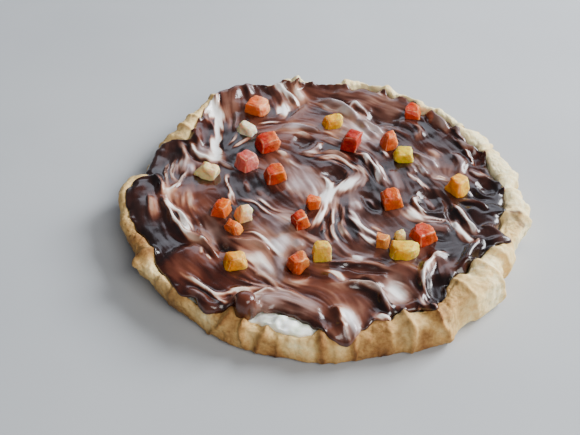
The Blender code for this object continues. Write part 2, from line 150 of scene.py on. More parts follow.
# Creases where the rim was pinched: angle at the rim, slant down the wall, depth, half width.
CREASES = [
    (2.5, 2, 1.6, 3), (22.5, -3, 1.6, 3), (35, 2, 1.6, 3), (52.5, 0, 1.2, 3.5),
    (142.5, -4, 1.6, 3.5), (207.5, 5, 1.6, 3), (240, -3, 2.6, 3), (245, 2, 2.2, 2.8),
    (252.5, -2, 2.6, 3), (267.5, -1, 2.4, 2.8), (277.5, 0, 1.6, 3), (290, 1, 2, 3),
    (307.5, 2, 2.8, 3), (330, 4, 2.6, 3), (337.5, 3, 2.4, 3), (350, -2, 2, 2.8),
]
# Folded tongues and rolls that swell out between creases: angle, half width and swell.
ROLLS = [
    (249, 3.5, 2), (260, 6.5, 1.4), (272.5, 4.5, 1.2), (283, 5, 1.2), (299, 7, 2.2), (319, 9, 2.2),
    (334, 3.5, 1.4), (343, 5.5, 1.4), (356, 5.5, 1.2), (11, 6.5, 1.2), (28, 5, 1.4), (42, 6, 1),
    (77, 5, 1), (213, 6, 1), (226, 9, 0.8),
]

# ---- looks of the crust ----
# Shares by which the folds spread to their neighbours, some steps away, which rounds their edges.
ROUNDING = ((-6, 0.08), (-4, 0.14), (-2, 0.18), (0, 0.20), (2, 0.18), (4, 0.14), (6, 0.08))
# Folds that lie one over the next: angle at the rim and at the foot, half width there, swell,
# and the crisp side: -1 clockwise, 1 anticlockwise, 2 both, 0 neither.
FOLDS = [
    (176, 176, 5, 5, 0.8, 1), (186, 185, 7, 7, 0.9, 0), (198, 196, 8, 8, 0.9, 0),
    (215.5, 213, 6, 5.5, 1.9, -1), (225, 222, 8, 8, 1, 0), (232.5, 228.5, 8.5, 8, 1.7, 1),
    (244.3, 241.5, 4.2, 6, 0.8, 0), (249.6, 249.3, 3.1, 0.8, 2.4, 2),
    (260.6, 260.6, 7.8, 7.8, 1.5, 1), (270.2, 270.2, 2.1, 2.1, 0.6, 0),
    (274.3, 274.3, 2.5, 2.5, 1.3, 1), (281.5, 281.5, 5, 5, 0.9, 0),
    (288.4, 288.4, 3.2, 3.2, 1.4, 1), (295.6, 296.2, 3.7, 3.9, 1.8, 2), (306.5, 308, 7, 7, 2.3, -1),
    (316.5, 318, 6, 6, 1.7, 0), (327, 328, 4.6, 4, 1.9, 2), (334.6, 335, 2.6, 2.6, 1.2, 0),
    (343.5, 344, 5.6, 5.2, 1.7, 2), (355, 355, 5.6, 5.6, 1.6, -1), (4, 4, 4, 4, 1, 0),
    (12.5, 12.5, 7, 7, 1.7, 2), (22, 22, 2.4, 2.4, 0.6, 0), (28.5, 28.5, 5.2, 5.2, 1.8, 2),
    (40.5, 40.5, 6.2, 6.2, 1.6, -1), (49, 49, 4, 4, 0.9, 0), (60, 60, 6, 6, 1.3, 1),
    (74, 74, 6.5, 6.5, 1.2, 0), (87, 87, 5.5, 5.5, 0.9, 0), (97.5, 97.5, 4, 4, 1.2, 0),
    (108, 108, 6, 6, 1, 1), (120, 120, 7, 7, 0.9, 0), (133, 133, 6, 6, 1.2, -1),
    (140.5, 140.5, 4, 4, 1, 0), (147, 147, 3.2, 3.2, 1.4, 2), (160, 160, 9, 9, 0.6, 0),
]
# Cracks where one fold meets the next: angle at the rim and at the foot, half width and depth.
CRACKS = [
    (171, 171, 1, 1.2), (191.5, 190, 0.8, 0.7), (208.3, 205.5, 1.1, 1.8), (218.5, 216, 0.8, 0.8),
    (224, 222, 0.7, 0.6), (241.2, 236, 1, 1.9), (246.6, 248.6, 1, 1.9), (252.6, 250.1, 1.1, 2.1),
    (257, 255.8, 0.9, 0.8), (268.2, 268.2, 1, 1.8), (271.6, 271.6, 0.8, 0.7),
    (276.7, 276.7, 0.8, 1.4), (286.2, 286.2, 0.8, 0.8), (291.6, 291.6, 0.9, 1.9),
    (299.3, 302.5, 1.2, 2.3), (304.5, 307.5, 0.7, 0.7), (311.6, 313, 0.9, 1.2),
    (322.4, 323.2, 1.1, 1.6), (331.2, 331.8, 1.1, 1.8), (337.4, 337.6, 1, 1.6),
    (349.4, 349.4, 1, 1.4), (1.2, 0.6, 1, 1.2), (8.5, 8.5, 0.8, 0.8), (19.8, 19.8, 1, 1.5),
    (23.8, 23.8, 0.9, 1.2), (34.5, 34.5, 1.1, 1.8), (46, 46, 0.8, 0.9), (52.5, 52.5, 1, 1.2),
    (66.8, 66.8, 0.9, 1), (81, 81, 0.9, 1), (93, 93, 0.9, 0.9), (102, 102, 0.9, 1),
    (114, 114, 0.8, 0.8), (127, 127, 0.9, 1), (137.5, 137.5, 0.9, 1), (143.2, 143.2, 1, 1.6),
    (150.5, 150.5, 1, 1.2), (161, 161, 0.8, 0.6),
]
# How brown the crust is, with painted light and shade laid into it: darker low on the wall and on
# the shaded front and left, paler where the light falls strongly on the right and back and on lit
# bulges of the front wall: angle, on top of the rim, high on the wall and low on it.
BAKE_AND_PAINTED_LIGHT = [
    (0, 0, 0.1, 0.15), (20, 0, 0.25, 0.35), (45, 0, 0.3, 0.4), (60, 0.05, 0.35, 0.45),
    (100, 0, 0.35, 0.45), (115, 0.2, 0.4, 0.5), (130, 0.35, 0.35, 0.4), (140, 0.25, 0.25, 0.35),
    (155, 0.35, 0.35, 0.4), (170, 0.3, 0.3, 0.4), (185, 0.45, 0.45, 0.6), (192, 0.5, 0.5, 0.7),
    (200, 0.75, 0.75, 0.85), (206, 0.65, 0.65, 0.55), (209, 0.6, 0.45, 0.5), (214, 0.15, 0.4, 0.7),
    (220, 0.4, 0.5, 0.8), (227, 0.6, 0.6, 0.75), (232, 0.5, 0.4, 0.7), (235.5, 0.35, 0.05, 0.65),
    (239, 0.6, 0.45, 0.75), (244, 0.65, 0.6, 0.75), (247, 0.55, 0.5, 0.6), (249.5, 0.35, 0.35, 0.6),
    (252, 0.4, 0.5, 0.8), (256, 0.35, 0.65, 0.85), (260.5, 0.3, 0.1, 0.65), (265, 0.35, 0.1, 0.6),
    (268, 0.6, 0.5, 0.75), (273, 0.55, 0.25, 0.6), (277, 0.65, 0.65, 0.75), (284, 0.75, 0.8, 0.85),
    (288, 0.55, 0.45, 0.65), (291, 0.4, 0.25, 0.65), (295, 0.45, 0.7, 0.85), (299, 0.65, 0.4, 0.75),
    (303, 0.7, 0.4, 0.5), (307, 0.6, 0.5, 0.25), (313, 0.4, 0.15, 0.15), (319, 0.1, 0, 0),
    (324, 0.05, 0.3, 0.1), (330, 0.15, 0.15, 0.35), (336, 0.3, 0.1, 0), (343, 0.3, 0, -0.05),
    (354, 0.05, 0, 0),
]
# Chocolate smeared on the crust: x and y of its middle, radius and amount.
SMEARS = [
    (111, -19, 7, 0.9), (113, -26, 5, 0.7), (109, -12, 4, 0.6), (100, -63, 4, 0.4),
    (-84, -82, 7, 0.35), (-92, -74, 5, 0.3), (38, -107, 5, 0.3), (62, -99, 4, 0.5),
]

# ---- looks of the chocolate ----
# Where it laps further over the crust: angle, half width and reach.
LAPS = [
    (116, 20, 2.6), (72, 10, -2), (90, 9, 1), (50, 6, -2.5), (337.5, 3.4, 5), (273.5, 5.6, 5),
    (236.5, 5.5, 4.2), (226, 6, 2), (350.5, 2.6, 4.5), (3, 4, 2), (299.5, 2.6, 4.6), (323, 3, 2),
    (243, 2.6, 2), (190, 12, 1), (285.5, 3, 2.4), (281, 2.6, 2.4), (306, 3, 2),
]
# Thick rounded lumps on its edge: angle, half width, and how far they stand out, up and down.
LUMPS = [
    (244.9, 3.7, 2.8, 3, 3.4), (274.5, 5, 0.6, 1, 1.6), (237, 6, 0.4, 0.6, 1.2),
    (337.5, 4, 0.6, 0.8, 1.4), (350.5, 3.4, 0.4, 0.8, 1), (299.5, 3, 0.4, 0.4, 1.4),
    (119, 7, 0.6, 0.8, 0.8), (93, 5, 0, 0.6, 0.4), (176, 7, 0.4, 0.8, 0.8),
]
# A round bead of darker, redder chocolate on its lip.
BEAD = {"x": -43.5, "y": -93.4, "half": 6.2, "rise": 3.9, "tone": 0.22, "warm": 0.75}
# The spatula's marks, among them painted highlights and glints on ridges: tone (0 dark, 1 white),
# warmth (-1 lilac, a painted reflection of the cool window light; 1 red), half width of the
# colour, rise of the ridge or groove, half width of that, and points along the mark.
STROKES = [
    # back left
    (0.14, 0.3, 2.6, -1.2, 4.5, (-77, 104), (-75, 94), (-75, 87), (-78, 80), (-82, 72)),
    (0.2, 0.8, 5, 2.2, 8, (-79, 78), (-81, 66), (-80, 54), (-78, 46)),
    (0.45, 0.5, 0.8, 0.3, 2, (-78, 78), (-73, 71), (-70, 66)),
    (0.36, -0.7, 1.6, 0, 2.5, (-79, 78), (-76, 75)),
    (0.95, 0, 4, -1, 6, (-73, 103), (-72, 94), (-71, 86), (-69.5, 80), (-67.5, 74)),
    (0.8, 0, 2.2, -0.6, 3.5, (-68, 76), (-68, 68), (-67.5, 60)),
    (0.96, 0, 2.4, -0.6, 4.5, (-67.5, 64), (-67, 52), (-67, 45)),
    (0.98, 0, 4.4, -0.7, 6, (-67, 50), (-67, 38), (-68, 30)),
    (0.42, -0.6, 2.6, 1, 4, (-80, 50), (-77, 45), (-72, 38)),
    (0.7, 0, 1.2, 1.4, 2.6, (-86, 52), (-82, 45), (-78, 39), (-74, 35), (-70, 32)),
    (0.14, 0.2, 1.3, -0.7, 2.6, (-81, 36), (-76, 34), (-72, 29)),
    (0.29, -0.8, 1.7, 0.6, 3, (-57, 84), (-56, 75), (-57, 65)),
    (0.24, 0.2, 7, 1.7, 12, (-58, 113), (-59, 98), (-57, 84)),
    (0.34, -0.8, 2, 1, 3.6, (-53, 113), (-50, 108), (-46, 101)),
    (0.14, 0, 4, -1, 6, (-44, 114), (-38, 110), (-34, 99)),
    (0.2, 0.2, 3, 1, 5, (-31, 108), (-27, 100), (-23, 90)),
    (0.85, -0.2, 1.7, 1.7, 3.2, (-31, 112), (-26, 108), (-22, 103), (-18, 97), (-15, 91)),
    (0.84, -0.3, 2.8, 0.4, 4, (-24, 92), (-23, 86), (-23, 80)),
    (0.48, 0.4, 3.2, 0.8, 5, (-18, 111), (-15, 105), (-12, 98)),
    (0.1, 0, 0.8, -0.4, 2, (-8, 98), (-13, 92), (-18, 84), (-21, 79)),
    (0.65, 0, 0.6, 0.3, 1.6, (-40, 71.5), (-33, 73), (-27, 73)),
    (0.34, -0.8, 2, 1.4, 4, (-28, 65), (-20, 68), (-12, 69), (-6, 66), (-2, 62)),
    (0.13, 0.1, 7, -1.6, 9, (-19, 55), (-13, 52), (-9, 47)),
    (0.46, 0.2, 1.6, 0.8, 3, (-17, 60), (-12, 60), (-7, 57)),
    (0.6, -0.3, 2.2, 1, 3.6, (-13, 39), (-4, 42), (1, 48)),
    (0.52, 0.3, 0.7, 0.3, 1.8, (-57, 46), (-51, 52), (-44, 57)),
    (0.48, 0.3, 0.6, 0.2, 1.6, (-60, 50), (-57, 55), (-56, 61)),
    (0.12, 0, 8, -1, 12, (-99, 56), (-98, 40), (-97, 22)),
    (0.45, 0.3, 1.3, 0.7, 2.6, (-91, 51), (-87, 43), (-84, 35)),
    (0.52, -0.2, 1.8, 0.6, 3, (-84, 39), (-86, 30), (-85, 21)),
    # a painted bluish-white highlight
    (0.56, -0.8, 2.6, 0.5, 4, (-83, 31), (-82, 25), (-80, 19)),
    (0.69, 0, 0.8, 0.9, 2, (-83, 24), (-86, 14), (-89, 8), (-95, 2)),
    (0.52, 0, 0.5, 0.2, 1.4, (-97, 34), (-96, 20), (-94, 7)),
    (0.52, 0, 0.5, 0.2, 1.4, (-91, 36), (-91, 22), (-89, 8)),
    (0.5, 0.2, 1.4, 2.1, 4, (-107, 19), (-101, 12), (-98, 6), (-96, -2)),
    (0.62, 0.1, 0.6, 0.3, 2, (-59.5, 22), (-58, 12), (-56, 4), (-54, -2), (-50, -11)),
    # painted glints
    (0.4, -0.6, 1, 0.5, 2, (-65, 31), (-60, 27), (-55, 23)),
    (0.4, -0.5, 1, 0.5, 2, (-45, 11), (-45, 7), (-45, 3)),
    (0.52, 0.3, 1.2, 0.6, 2.6, (-28, 43), (-25, 41), (-21, 37)),
    (0.54, 0, 0.6, 0.3, 1.8, (-21, 34), (-18, 29), (-13, 23)),
    # middle
    (0.4, -0.5, 5, 0.5, 7, (-17, 31), (-13, 20), (-9, 9), (-4, -2)),
    (0.26, -0.4, 3.2, 0.3, 5, (-40, 5), (-36, -4), (-30, -12)),
    (0.45, 0.1, 1.5, 0.7, 2.6, (0, 40), (10, 39), (19, 31)),
    (0.56, 0.1, 0.9, 0.3, 1.9, (-3, 35), (8, 36), (18, 28), (24, 18)),
    (0.3, 0.1, 0.9, -0.2, 1.8, (-2, 37.5), (8, 37), (20, 29), (26, 18)),
    (0.3, 0.1, 0.9, -0.2, 1.8, (-4, 32), (6, 32), (14, 27)),
    (0.12, 0.1, 5.6, -1.9, 9, (3, 23), (7, 18), (9, 12)),
    (0.44, -0.3, 4.8, 0, 3, (27, 19), (20, 13), (10, 5)),
    (0.72, -0.2, 2.9, 0.6, 6, (21, 16), (14, 9), (7, 1), (2, -6), (0, -10)),
    (0.88, 0, 1.9, 0, 3, (13, 8), (8, 2), (3, -4), (1, -9)),
    (0.66, 0, 1.7, 0.5, 3, (1, -6), (0, -14), (-4, -23), (-8, -32)),
    (0.86, 0, 1.8, 0.6, 3, (-1, 15), (2, 11), (4, 4)),
    (0.45, 0.2, 1.8, 0, 3, (8, -2), (8, -12), (5, -24)),
    (0.3, 0.2, 1, -0.5, 2.2, (9, -6), (8, -20), (10, -35), (14, -46)),
    (0.5, 0.2, 0.9, 0.3, 2, (12, -8), (10, -20), (12, -34), (16, -45)),
    (0.6, 0.1, 0.8, 0.3, 1.8, (5, -8), (4, -22), (5, -36), (9, -48)),
    (0.35, 0.3, 1.4, -0.5, 2.6, (1, -22), (0, -34), (3, -46)),
    (0.34, -0.7, 2.6, 0.6, 4, (3, -42), (8, -48), (12, -55)),
    (0.38, -0.7, 5, 0.3, 7, (16, -6), (18, -20), (24, -36), (28, -44)),
    (0.58, -0.4, 2.4, 0.5, 3.6, (17, -6), (18, -11), (18, -16)),
    # painted highlights on small ridges
    (0.72, 0, 0.8, 0.3, 1.8, (13, -16), (17, -22), (21, -28)),
    (0.92, 0, 1.4, 0.8, 2.6, (12, -22), (17, -26), (20, -30), (24, -36), (29, -41)),
    (0.7, 0, 0.7, 0.3, 1.6, (19, -35), (25, -44), (30, -49)),
    (0.5, 0.6, 1.2, 0.4, 2.2, (26, -30), (29, -33), (31, -36)),
    (0.16, 0, 4, -1.1, 6, (24, 0), (27, -8), (32, -17)),
    (0.4, -0.8, 1.4, 0.6, 2.6, (25, -4), (28, -8), (31, -13)),
    # back right
    (0.28, 0.1, 9, 1.1, 16, (8, 108), (24, 104), (42, 96)),
    (0.48, -0.6, 2.6, 3.2, 5, (-2, 100), (5, 96), (8, 92), (12, 90), (16, 89), (20, 84), (23, 79),
     (27, 73)),
    (0.48, -0.7, 1.2, 2.2, 3, (25, 76), (31, 68), (35, 65), (39, 59)),
    (0.4, -0.6, 1, 1.3, 2.4, (23, 78), (28, 68), (32, 62), (36, 56)),
    (0.6, -0.3, 0.9, 1.3, 2.4, (20, 86), (24, 94), (27, 90), (31, 81)),
    (0.15, 0, 8, -1.9, 12, (30, 82), (40, 77), (52, 76)),
    (0.1, 0, 2.6, -0.7, 4, (36, 77), (38, 73), (40, 70)),
    (0.34, -0.9, 1.5, 0.6, 3, (36, 63), (40, 65), (43, 68)),
    (0.4, -0.3, 1, 0.4, 2, (45, 70), (48, 67), (52, 64)),
    (0.72, 0, 0.8, 1, 2, (40, 114), (40, 110), (40, 105)),
    (0.72, 0, 0.9, 1, 2, (44.5, 117), (45, 112), (47, 108), (51, 99)),
    (0.14, 0.1, 2.2, -0.6, 3.5, (48, 113), (50, 109), (53, 104)),
    (0.14, 0, 2.4, -0.7, 4, (57, 102), (62, 99), (66, 97)),
    # a painted highlight along the chocolate's rounded edge
    (0.74, 0, 0.9, 0.9, 2.2, (60, 103), (66, 98), (69, 92), (75, 88)),
    (0.12, 0.1, 2.6, -1.2, 4.5, (69, 88), (78, 86), (82, 78), (84, 70), (88, 64), (93, 57),
     (97, 49)),
    (0.36, -0.5, 1.5, 2.6, 4, (69, 83), (73, 78), (76, 72), (79, 66), (82, 59)),
    (0.12, 0.2, 1.1, -0.7, 2.4, (67, 80), (71, 74), (74, 68), (77, 62)),
    (0.2, 0.2, 8, 0.8, 12, (54, 78), (60, 66), (68, 54)),
    (0.48, 0.2, 1.6, 0.6, 3, (63, 70), (64, 62), (62, 54)),
    (0.36, -0.8, 1.9, 1.3, 3.6, (83, 68), (88, 62), (94, 52)),
    (0.46, -0.5, 1.2, 1.6, 3, (86, 53), (92, 45), (97, 42)),
    (0.14, 0.9, 6, -2.2, 8, (95, 40), (97, 33), (96, 26)),
    (0.68, 0, 0.8, 1.2, 2.2, (90, 42), (92, 36), (94, 30)),
    # a painted lilac highlight
    (0.4, -0.4, 1.8, 0.8, 3.4, (91, 21), (96, 17), (101, 13)),
    (0.16, 0.5, 5, -1.8, 7, (95, 10), (98, 5), (96, 0)),
    (0.4, -0.7, 2.3, 1.3, 4, (81, 40), (85, 33), (86, 26), (83, 18)),
    (0.45, 0.3, 2.4, 0.4, 3.6, (66, 40), (70, 37), (69, 34)),
    (0.48, -0.9, 2.3, 1.3, 3.6, (59, 42), (62, 37), (65, 32), (68, 27), (69, 22)),
    (0.48, -0.9, 1, 0.8, 2.2, (58, 29), (61, 24), (64, 16)),
    (0.46, -0.9, 1.9, 0.8, 3.2, (54, 28), (56, 23), (56, 18)),
    (0.22, 0, 0.9, -0.3, 1.9, (60, 33), (62, 28), (65, 20)),
    (0.22, 0, 0.8, -0.2, 1.8, (57, 30), (59, 23), (61, 15)),
    (0.62, 0, 0.5, 0.2, 1.4, (52, 20), (58, 10), (63, 1)),
    (0.56, 0.6, 0.5, 0.2, 1.4, (69, 14), (72, 14), (76, 12)),
    (0.4, -0.8, 2.8, 0.8, 4.4, (31, 54), (34, 48), (37, 42)),
    (0.56, -0.4, 1.6, 0.5, 2.8, (39, 43), (41, 38), (43, 35)),
    (0.9, 0, 1.5, 1.7, 3.8, (21, 39), (27, 36), (30, 30), (33, 22), (36, 13), (38, 7)),
    (0.74, 0, 0.7, 0.4, 1.8, (34, 33), (36, 25), (38, 17), (39, 11), (41, 4)),
    (0.25, 0.1, 0.9, -0.3, 2, (26, 31), (28, 24), (31, 14), (33, 6)),
    (0.36, -0.8, 4.5, 0.5, 7, (42, 22), (43, 12), (43, 0)),
    (0.5, 0.2, 0.6, 0.2, 1.4, (21, 30), (25, 22), (28, 12)),
    (0.48, 0.5, 2.2, 0.4, 4, (0, 63), (4, 61), (9, 58)),
    (0.36, -0.8, 3, 0.6, 5, (2, 57), (8, 54), (14, 50)),
    (0.76, 0, 1, 0.9, 2.4, (108, 4), (109, 0), (108, -5)),
    # front left
    (0.09, 0.1, 8, 0.8, 14, (-105, 2), (-106, -20), (-103, -40), (-98, -58)),
    (0.4, 0.7, 2.2, 0.8, 5, (-105, -3), (-100, -12), (-96, -23)),
    (0.66, 0.3, 0.9, 3.1, 5, (-100, 2), (-96, -6), (-92, -12), (-89, -20), (-87, -27), (-83, -34),
     (-79, -38), (-75, -38), (-72, -34)),
    (0.14, 0, 1.6, -1, 3, (-91, -11), (-88, -17), (-84, -26), (-80, -33)),
    (0.7, 0.1, 1, 1.2, 2.4, (-95, 0), (-91, -8), (-87, -15), (-83, -22), (-80, -29), (-77, -37)),
    (0.94, 0, 1.8, 0.3, 3, (-83, -20), (-81, -27), (-78, -34)),
    (0.48, 0.3, 0.7, 0.2, 1.6, (-85, 1), (-84, -4), (-83, -11)),
    (0.48, 0.3, 0.7, 0.2, 1.6, (-80, 1), (-79, -7), (-77, -16)),
    (0.4, 0.3, 0.7, 0.2, 1.6, (-89, -1), (-87, -6), (-85, -13)),
    (0.4, -0.2, 3.8, -2, 8, (-73, -22), (-66, -32), (-60, -43), (-57, -50)),
    (0.13, 0.1, 2, -0.7, 3.5, (-60, -38), (-57, -46), (-54, -52)),
    (0.44, 0.3, 1.2, 2, 3.6, (-78, -38), (-73, -42), (-68, -47), (-63, -52), (-57, -59)),
    (0.7, -0.3, 0.8, 0.2, 1.8, (-72, -44), (-69, -45), (-66, -46)),
    (0.52, -0.3, 1, 0.4, 2, (-71, -49), (-70, -53), (-69, -57)),
    (0.68, 0, 0.7, 0.2, 1.6, (-66, -55), (-64, -58), (-62, -60)),
    (0.22, 0.6, 11, 2, 17, (-84, -50), (-74, -60), (-62, -72)),
    (0.6, 0.4, 1.1, 1.3, 3, (-77, -70), (-72, -74), (-68, -78), (-64, -81), (-58, -84), (-52, -84),
     (-46, -81), (-40, -80), (-26, -80)),
    (0.16, 0.5, 5, 1.7, 8, (-78, -82), (-66, -91), (-54, -98)),
    # a painted lilac highlight
    (0.34, -0.7, 2.2, 0.5, 4, (-72, -83), (-68, -86), (-64, -89)),
    (0.52, 0.2, 0.9, 0.4, 2.4, (-58, -85), (-56, -89), (-54, -92), (-51, -93)),
    (0.16, 0.6, 5.4, 2, 8, (-52, -88), (-45, -94), (-40, -99)),
    (0.34, -0.7, 1.9, 0.5, 3.4, (-42, -87), (-40, -92), (-37, -96)),
    (0.62, 0.1, 0.9, 1.3, 2.6, (-51, -92), (-44, -89), (-38, -84), (-33, -82), (-27, -82)),
    (0.56, 0.2, 0.9, 0.3, 2, (-46, -61), (-38, -68), (-30, -76), (-22, -84), (-11, -90)),
    (0.48, 0.2, 0.9, 0.3, 2, (-51, -70), (-40, -77), (-30, -80), (-18, -86), (-7, -91)),
    (0.45, 0.2, 0.9, 0.3, 2, (-39, -65), (-32, -72), (-25, -78), (-14, -86)),
    (0.26, 0.2, 0.8, -0.2, 1.7, (-44, -65), (-36, -73), (-28, -80), (-16, -88)),
    (0.26, 0.2, 0.8, -0.2, 1.7, (-40, -62), (-32, -70), (-22, -79), (-12, -86)),
    (0.62, 0.1, 3.6, 0.4, 6, (-41, -53), (-36, -60), (-29, -70)),
    (0.4, -0.3, 1.6, 0, 2.6, (-36, -63), (-33, -66), (-30, -69)),
    (0.7, 0, 0.7, 0.4, 1.8, (-45, -36), (-40, -36), (-34, -42), (-28, -50), (-23, -57)),
    (0.42, 0.2, 1.6, 1.4, 4, (-61, -38), (-50, -43), (-42, -45), (-35, -47), (-27, -53)),
    (0.13, 0.1, 2.6, -0.7, 4, (-58, -44), (-54, -48), (-49, -50)),
    (0.56, -0.5, 3.6, 0.5, 5, (-30, -39), (-26, -46), (-22, -54)),
    (0.4, -0.7, 2, 0.5, 3.4, (-27, -53), (-26, -64), (-26, -78)),
    (0.36, -0.8, 4.4, 0.3, 7, (-36, -20), (-30, -28), (-23, -36)),
    (0.62, 0, 0.7, 0.3, 1.8, (-49, -5), (-43, -7), (-38, -12), (-35, -18), (-30, -23)),
    (0.58, 0, 0.6, 0.3, 1.6, (-39, -4), (-35, -10), (-31, -16), (-23, -18)),
    (0.46, -0.4, 2, 0.8, 3.6, (-17, -42), (-15, -45), (-13, -48)),
    (0.4, 0.4, 2.2, 0.3, 4, (-13, -40), (-8, -42), (-3, -44)),
    (0.14, 0.9, 3.6, -1, 5, (-22, -61), (-18, -67), (-11, -72)),
    (0.5, 0.4, 1.8, 0.4, 3, (-22, -76), (-16, -77), (-9, -75)),
    (0.4, -0.3, 5, 1.3, 9, (-40, -87), (-22, -90), (-2, -98)),
    (0.13, 0.4, 2.6, -0.5, 4, (-38, -98), (-20, -102), (-9, -106), (-4, -113)),
    # front right
    (0.46, 0.2, 0.9, 0.3, 2.2, (-2, -63), (8, -61), (18, -58)),
    (0.32, -0.7, 2.4, 0.5, 4, (14, -54), (21, -57), (29, -59)),
    (0.68, -0.3, 1.2, 0.4, 2.2, (14, -56), (17, -57), (20, -59)),
    (0.24, 0.2, 1.6, -1.1, 3.6, (6, -64), (18, -65), (34, -69)),
    (0.4, 0.2, 0.8, 0.3, 1.9, (9, -62), (22, -61), (34, -65)),
    (0.4, 0.2, 0.8, 0.3, 1.9, (13, -70), (22, -70), (28, -74)),
    (0.2, 0.8, 3.6, 0.7, 5, (-3, -68), (0, -72), (3, -76)),
    (0.7, 0.1, 0.7, 0.3, 1.8, (-1, -66), (4, -68), (7, -73), (8, -76)),
    (0.6, 0, 0.9, 2.5, 4.4, (-1, -77), (10, -78), (20, -79), (26, -82), (30, -86), (32, -92),
     (34, -97)),
    (0.42, -0.6, 1.6, 0.5, 2.6, (29, -86), (30, -89), (31, -92)),
    (0.52, -0.2, 6, -2, 9, (30, -72), (36, -80), (44, -92)),
    (0.86, 0, 2.6, 0, 4, (32, -76), (36, -79), (41, -84)),
    (0.18, 0.7, 3, 0, 4, (37, -94), (41, -97), (46, -100)),
    (0.3, 0.3, 6, 1, 10, (34, -60), (46, -66), (58, -74)),
    (0.76, 0, 1, 2.4, 4, (69, -52), (62, -55), (58, -59), (55, -64), (52, -70), (51, -77),
     (51, -82), (53, -88)),
    (0.52, -0.9, 1.9, 0.5, 3.2, (50, -84), (52, -90), (54, -96)),
    (0.6, -0.3, 0.8, 0.3, 2, (53, -91), (55, -95), (57, -100)),
    (0.56, -0.3, 0.8, 0.3, 2, (48, -94), (47, -98), (47, -102)),
    (0.14, 0.3, 5, -1.9, 8, (62, -70), (58, -84), (55, -102)),
    (0.3, -0.8, 4, 0.6, 7, (61, -57), (65, -64), (68, -74)),
    (0.16, 0.8, 3, 2.1, 5, (69, -70), (75, -60), (80, -52), (85, -45), (89, -39)),
    (0.13, 0.5, 1.2, -0.7, 2.6, (74, -68), (80, -60), (86, -50), (92, -44)),
    (0.14, 0, 6, -2.2, 10, (60, 1), (63, -8), (64, -18)),
    (0.74, 0, 0.9, 1.2, 2.2, (57, -2), (54, -9), (56, -15), (59, -20)),
    (0.7, 0.1, 2.8, 0.6, 4.4, (49, -15), (53, -21), (57, -28)),
    # a painted glint
    (0.36, -0.8, 1.2, 0.5, 2.4, (61, -3), (63, -8), (65, -13)),
    (0.56, 0, 0.7, 0.3, 1.6, (56, -23), (64, -24), (73, -24)),
    (0.56, 0, 0.6, 0.3, 1.6, (59, -26), (65, -27), (71, -26)),
    (0.26, -0.5, 4, 0.6, 6, (58, -29), (66, -31), (73, -33)),
    (0.12, 0, 1.1, -1, 2.6, (67, 2), (72, -8), (73, -18), (74, -26), (70, -37)),
    (0.94, 0, 1.9, 2, 4, (75, -10), (80, -20), (84, -30), (87, -38)),
    (0.9, -0.1, 2.3, 0.6, 3.6, (75, -24), (77, -33), (79, -41), (84, -45)),
    (0.44, -0.4, 1.4, 1.3, 3, (81, -8), (90, -11), (97, -17)),
    (0.1, 0.1, 2.2, -1.1, 3.6, (88, 3), (91, -2), (96, -7)),
    (0.06, 0.3, 6, 0.6, 9, (84, -13), (92, -20), (99, -29)),
    (0.16, -0.8, 6, 1.6, 10, (92, -28), (96, -38), (98, -48)),
    (0.7, 0, 0.8, 0.9, 2.2, (100, -29), (102, -38), (104, -43)),
    (0.2, 0.3, 3.6, 0.8, 5, (84, -64), (82, -71), (79, -77)),
    (0.46, -0.7, 1.2, 0.5, 2.4, (79, -67), (80, -71), (82, -76)),
    (0.2, 0.8, 5, 2.5, 7, (3, -92), (6, -100), (9, -110)),
    (0.56, -0.5, 3.4, 1, 4.4, (9, -93), (13, -104), (17, -112)),
    (0.12, 0.3, 2, -0.8, 3.4, (21, -104), (20, -109), (19, -115)),
    (0.72, 0, 1.2, 0.7, 2.6, (26, -99), (30, -102), (36, -104)),
]
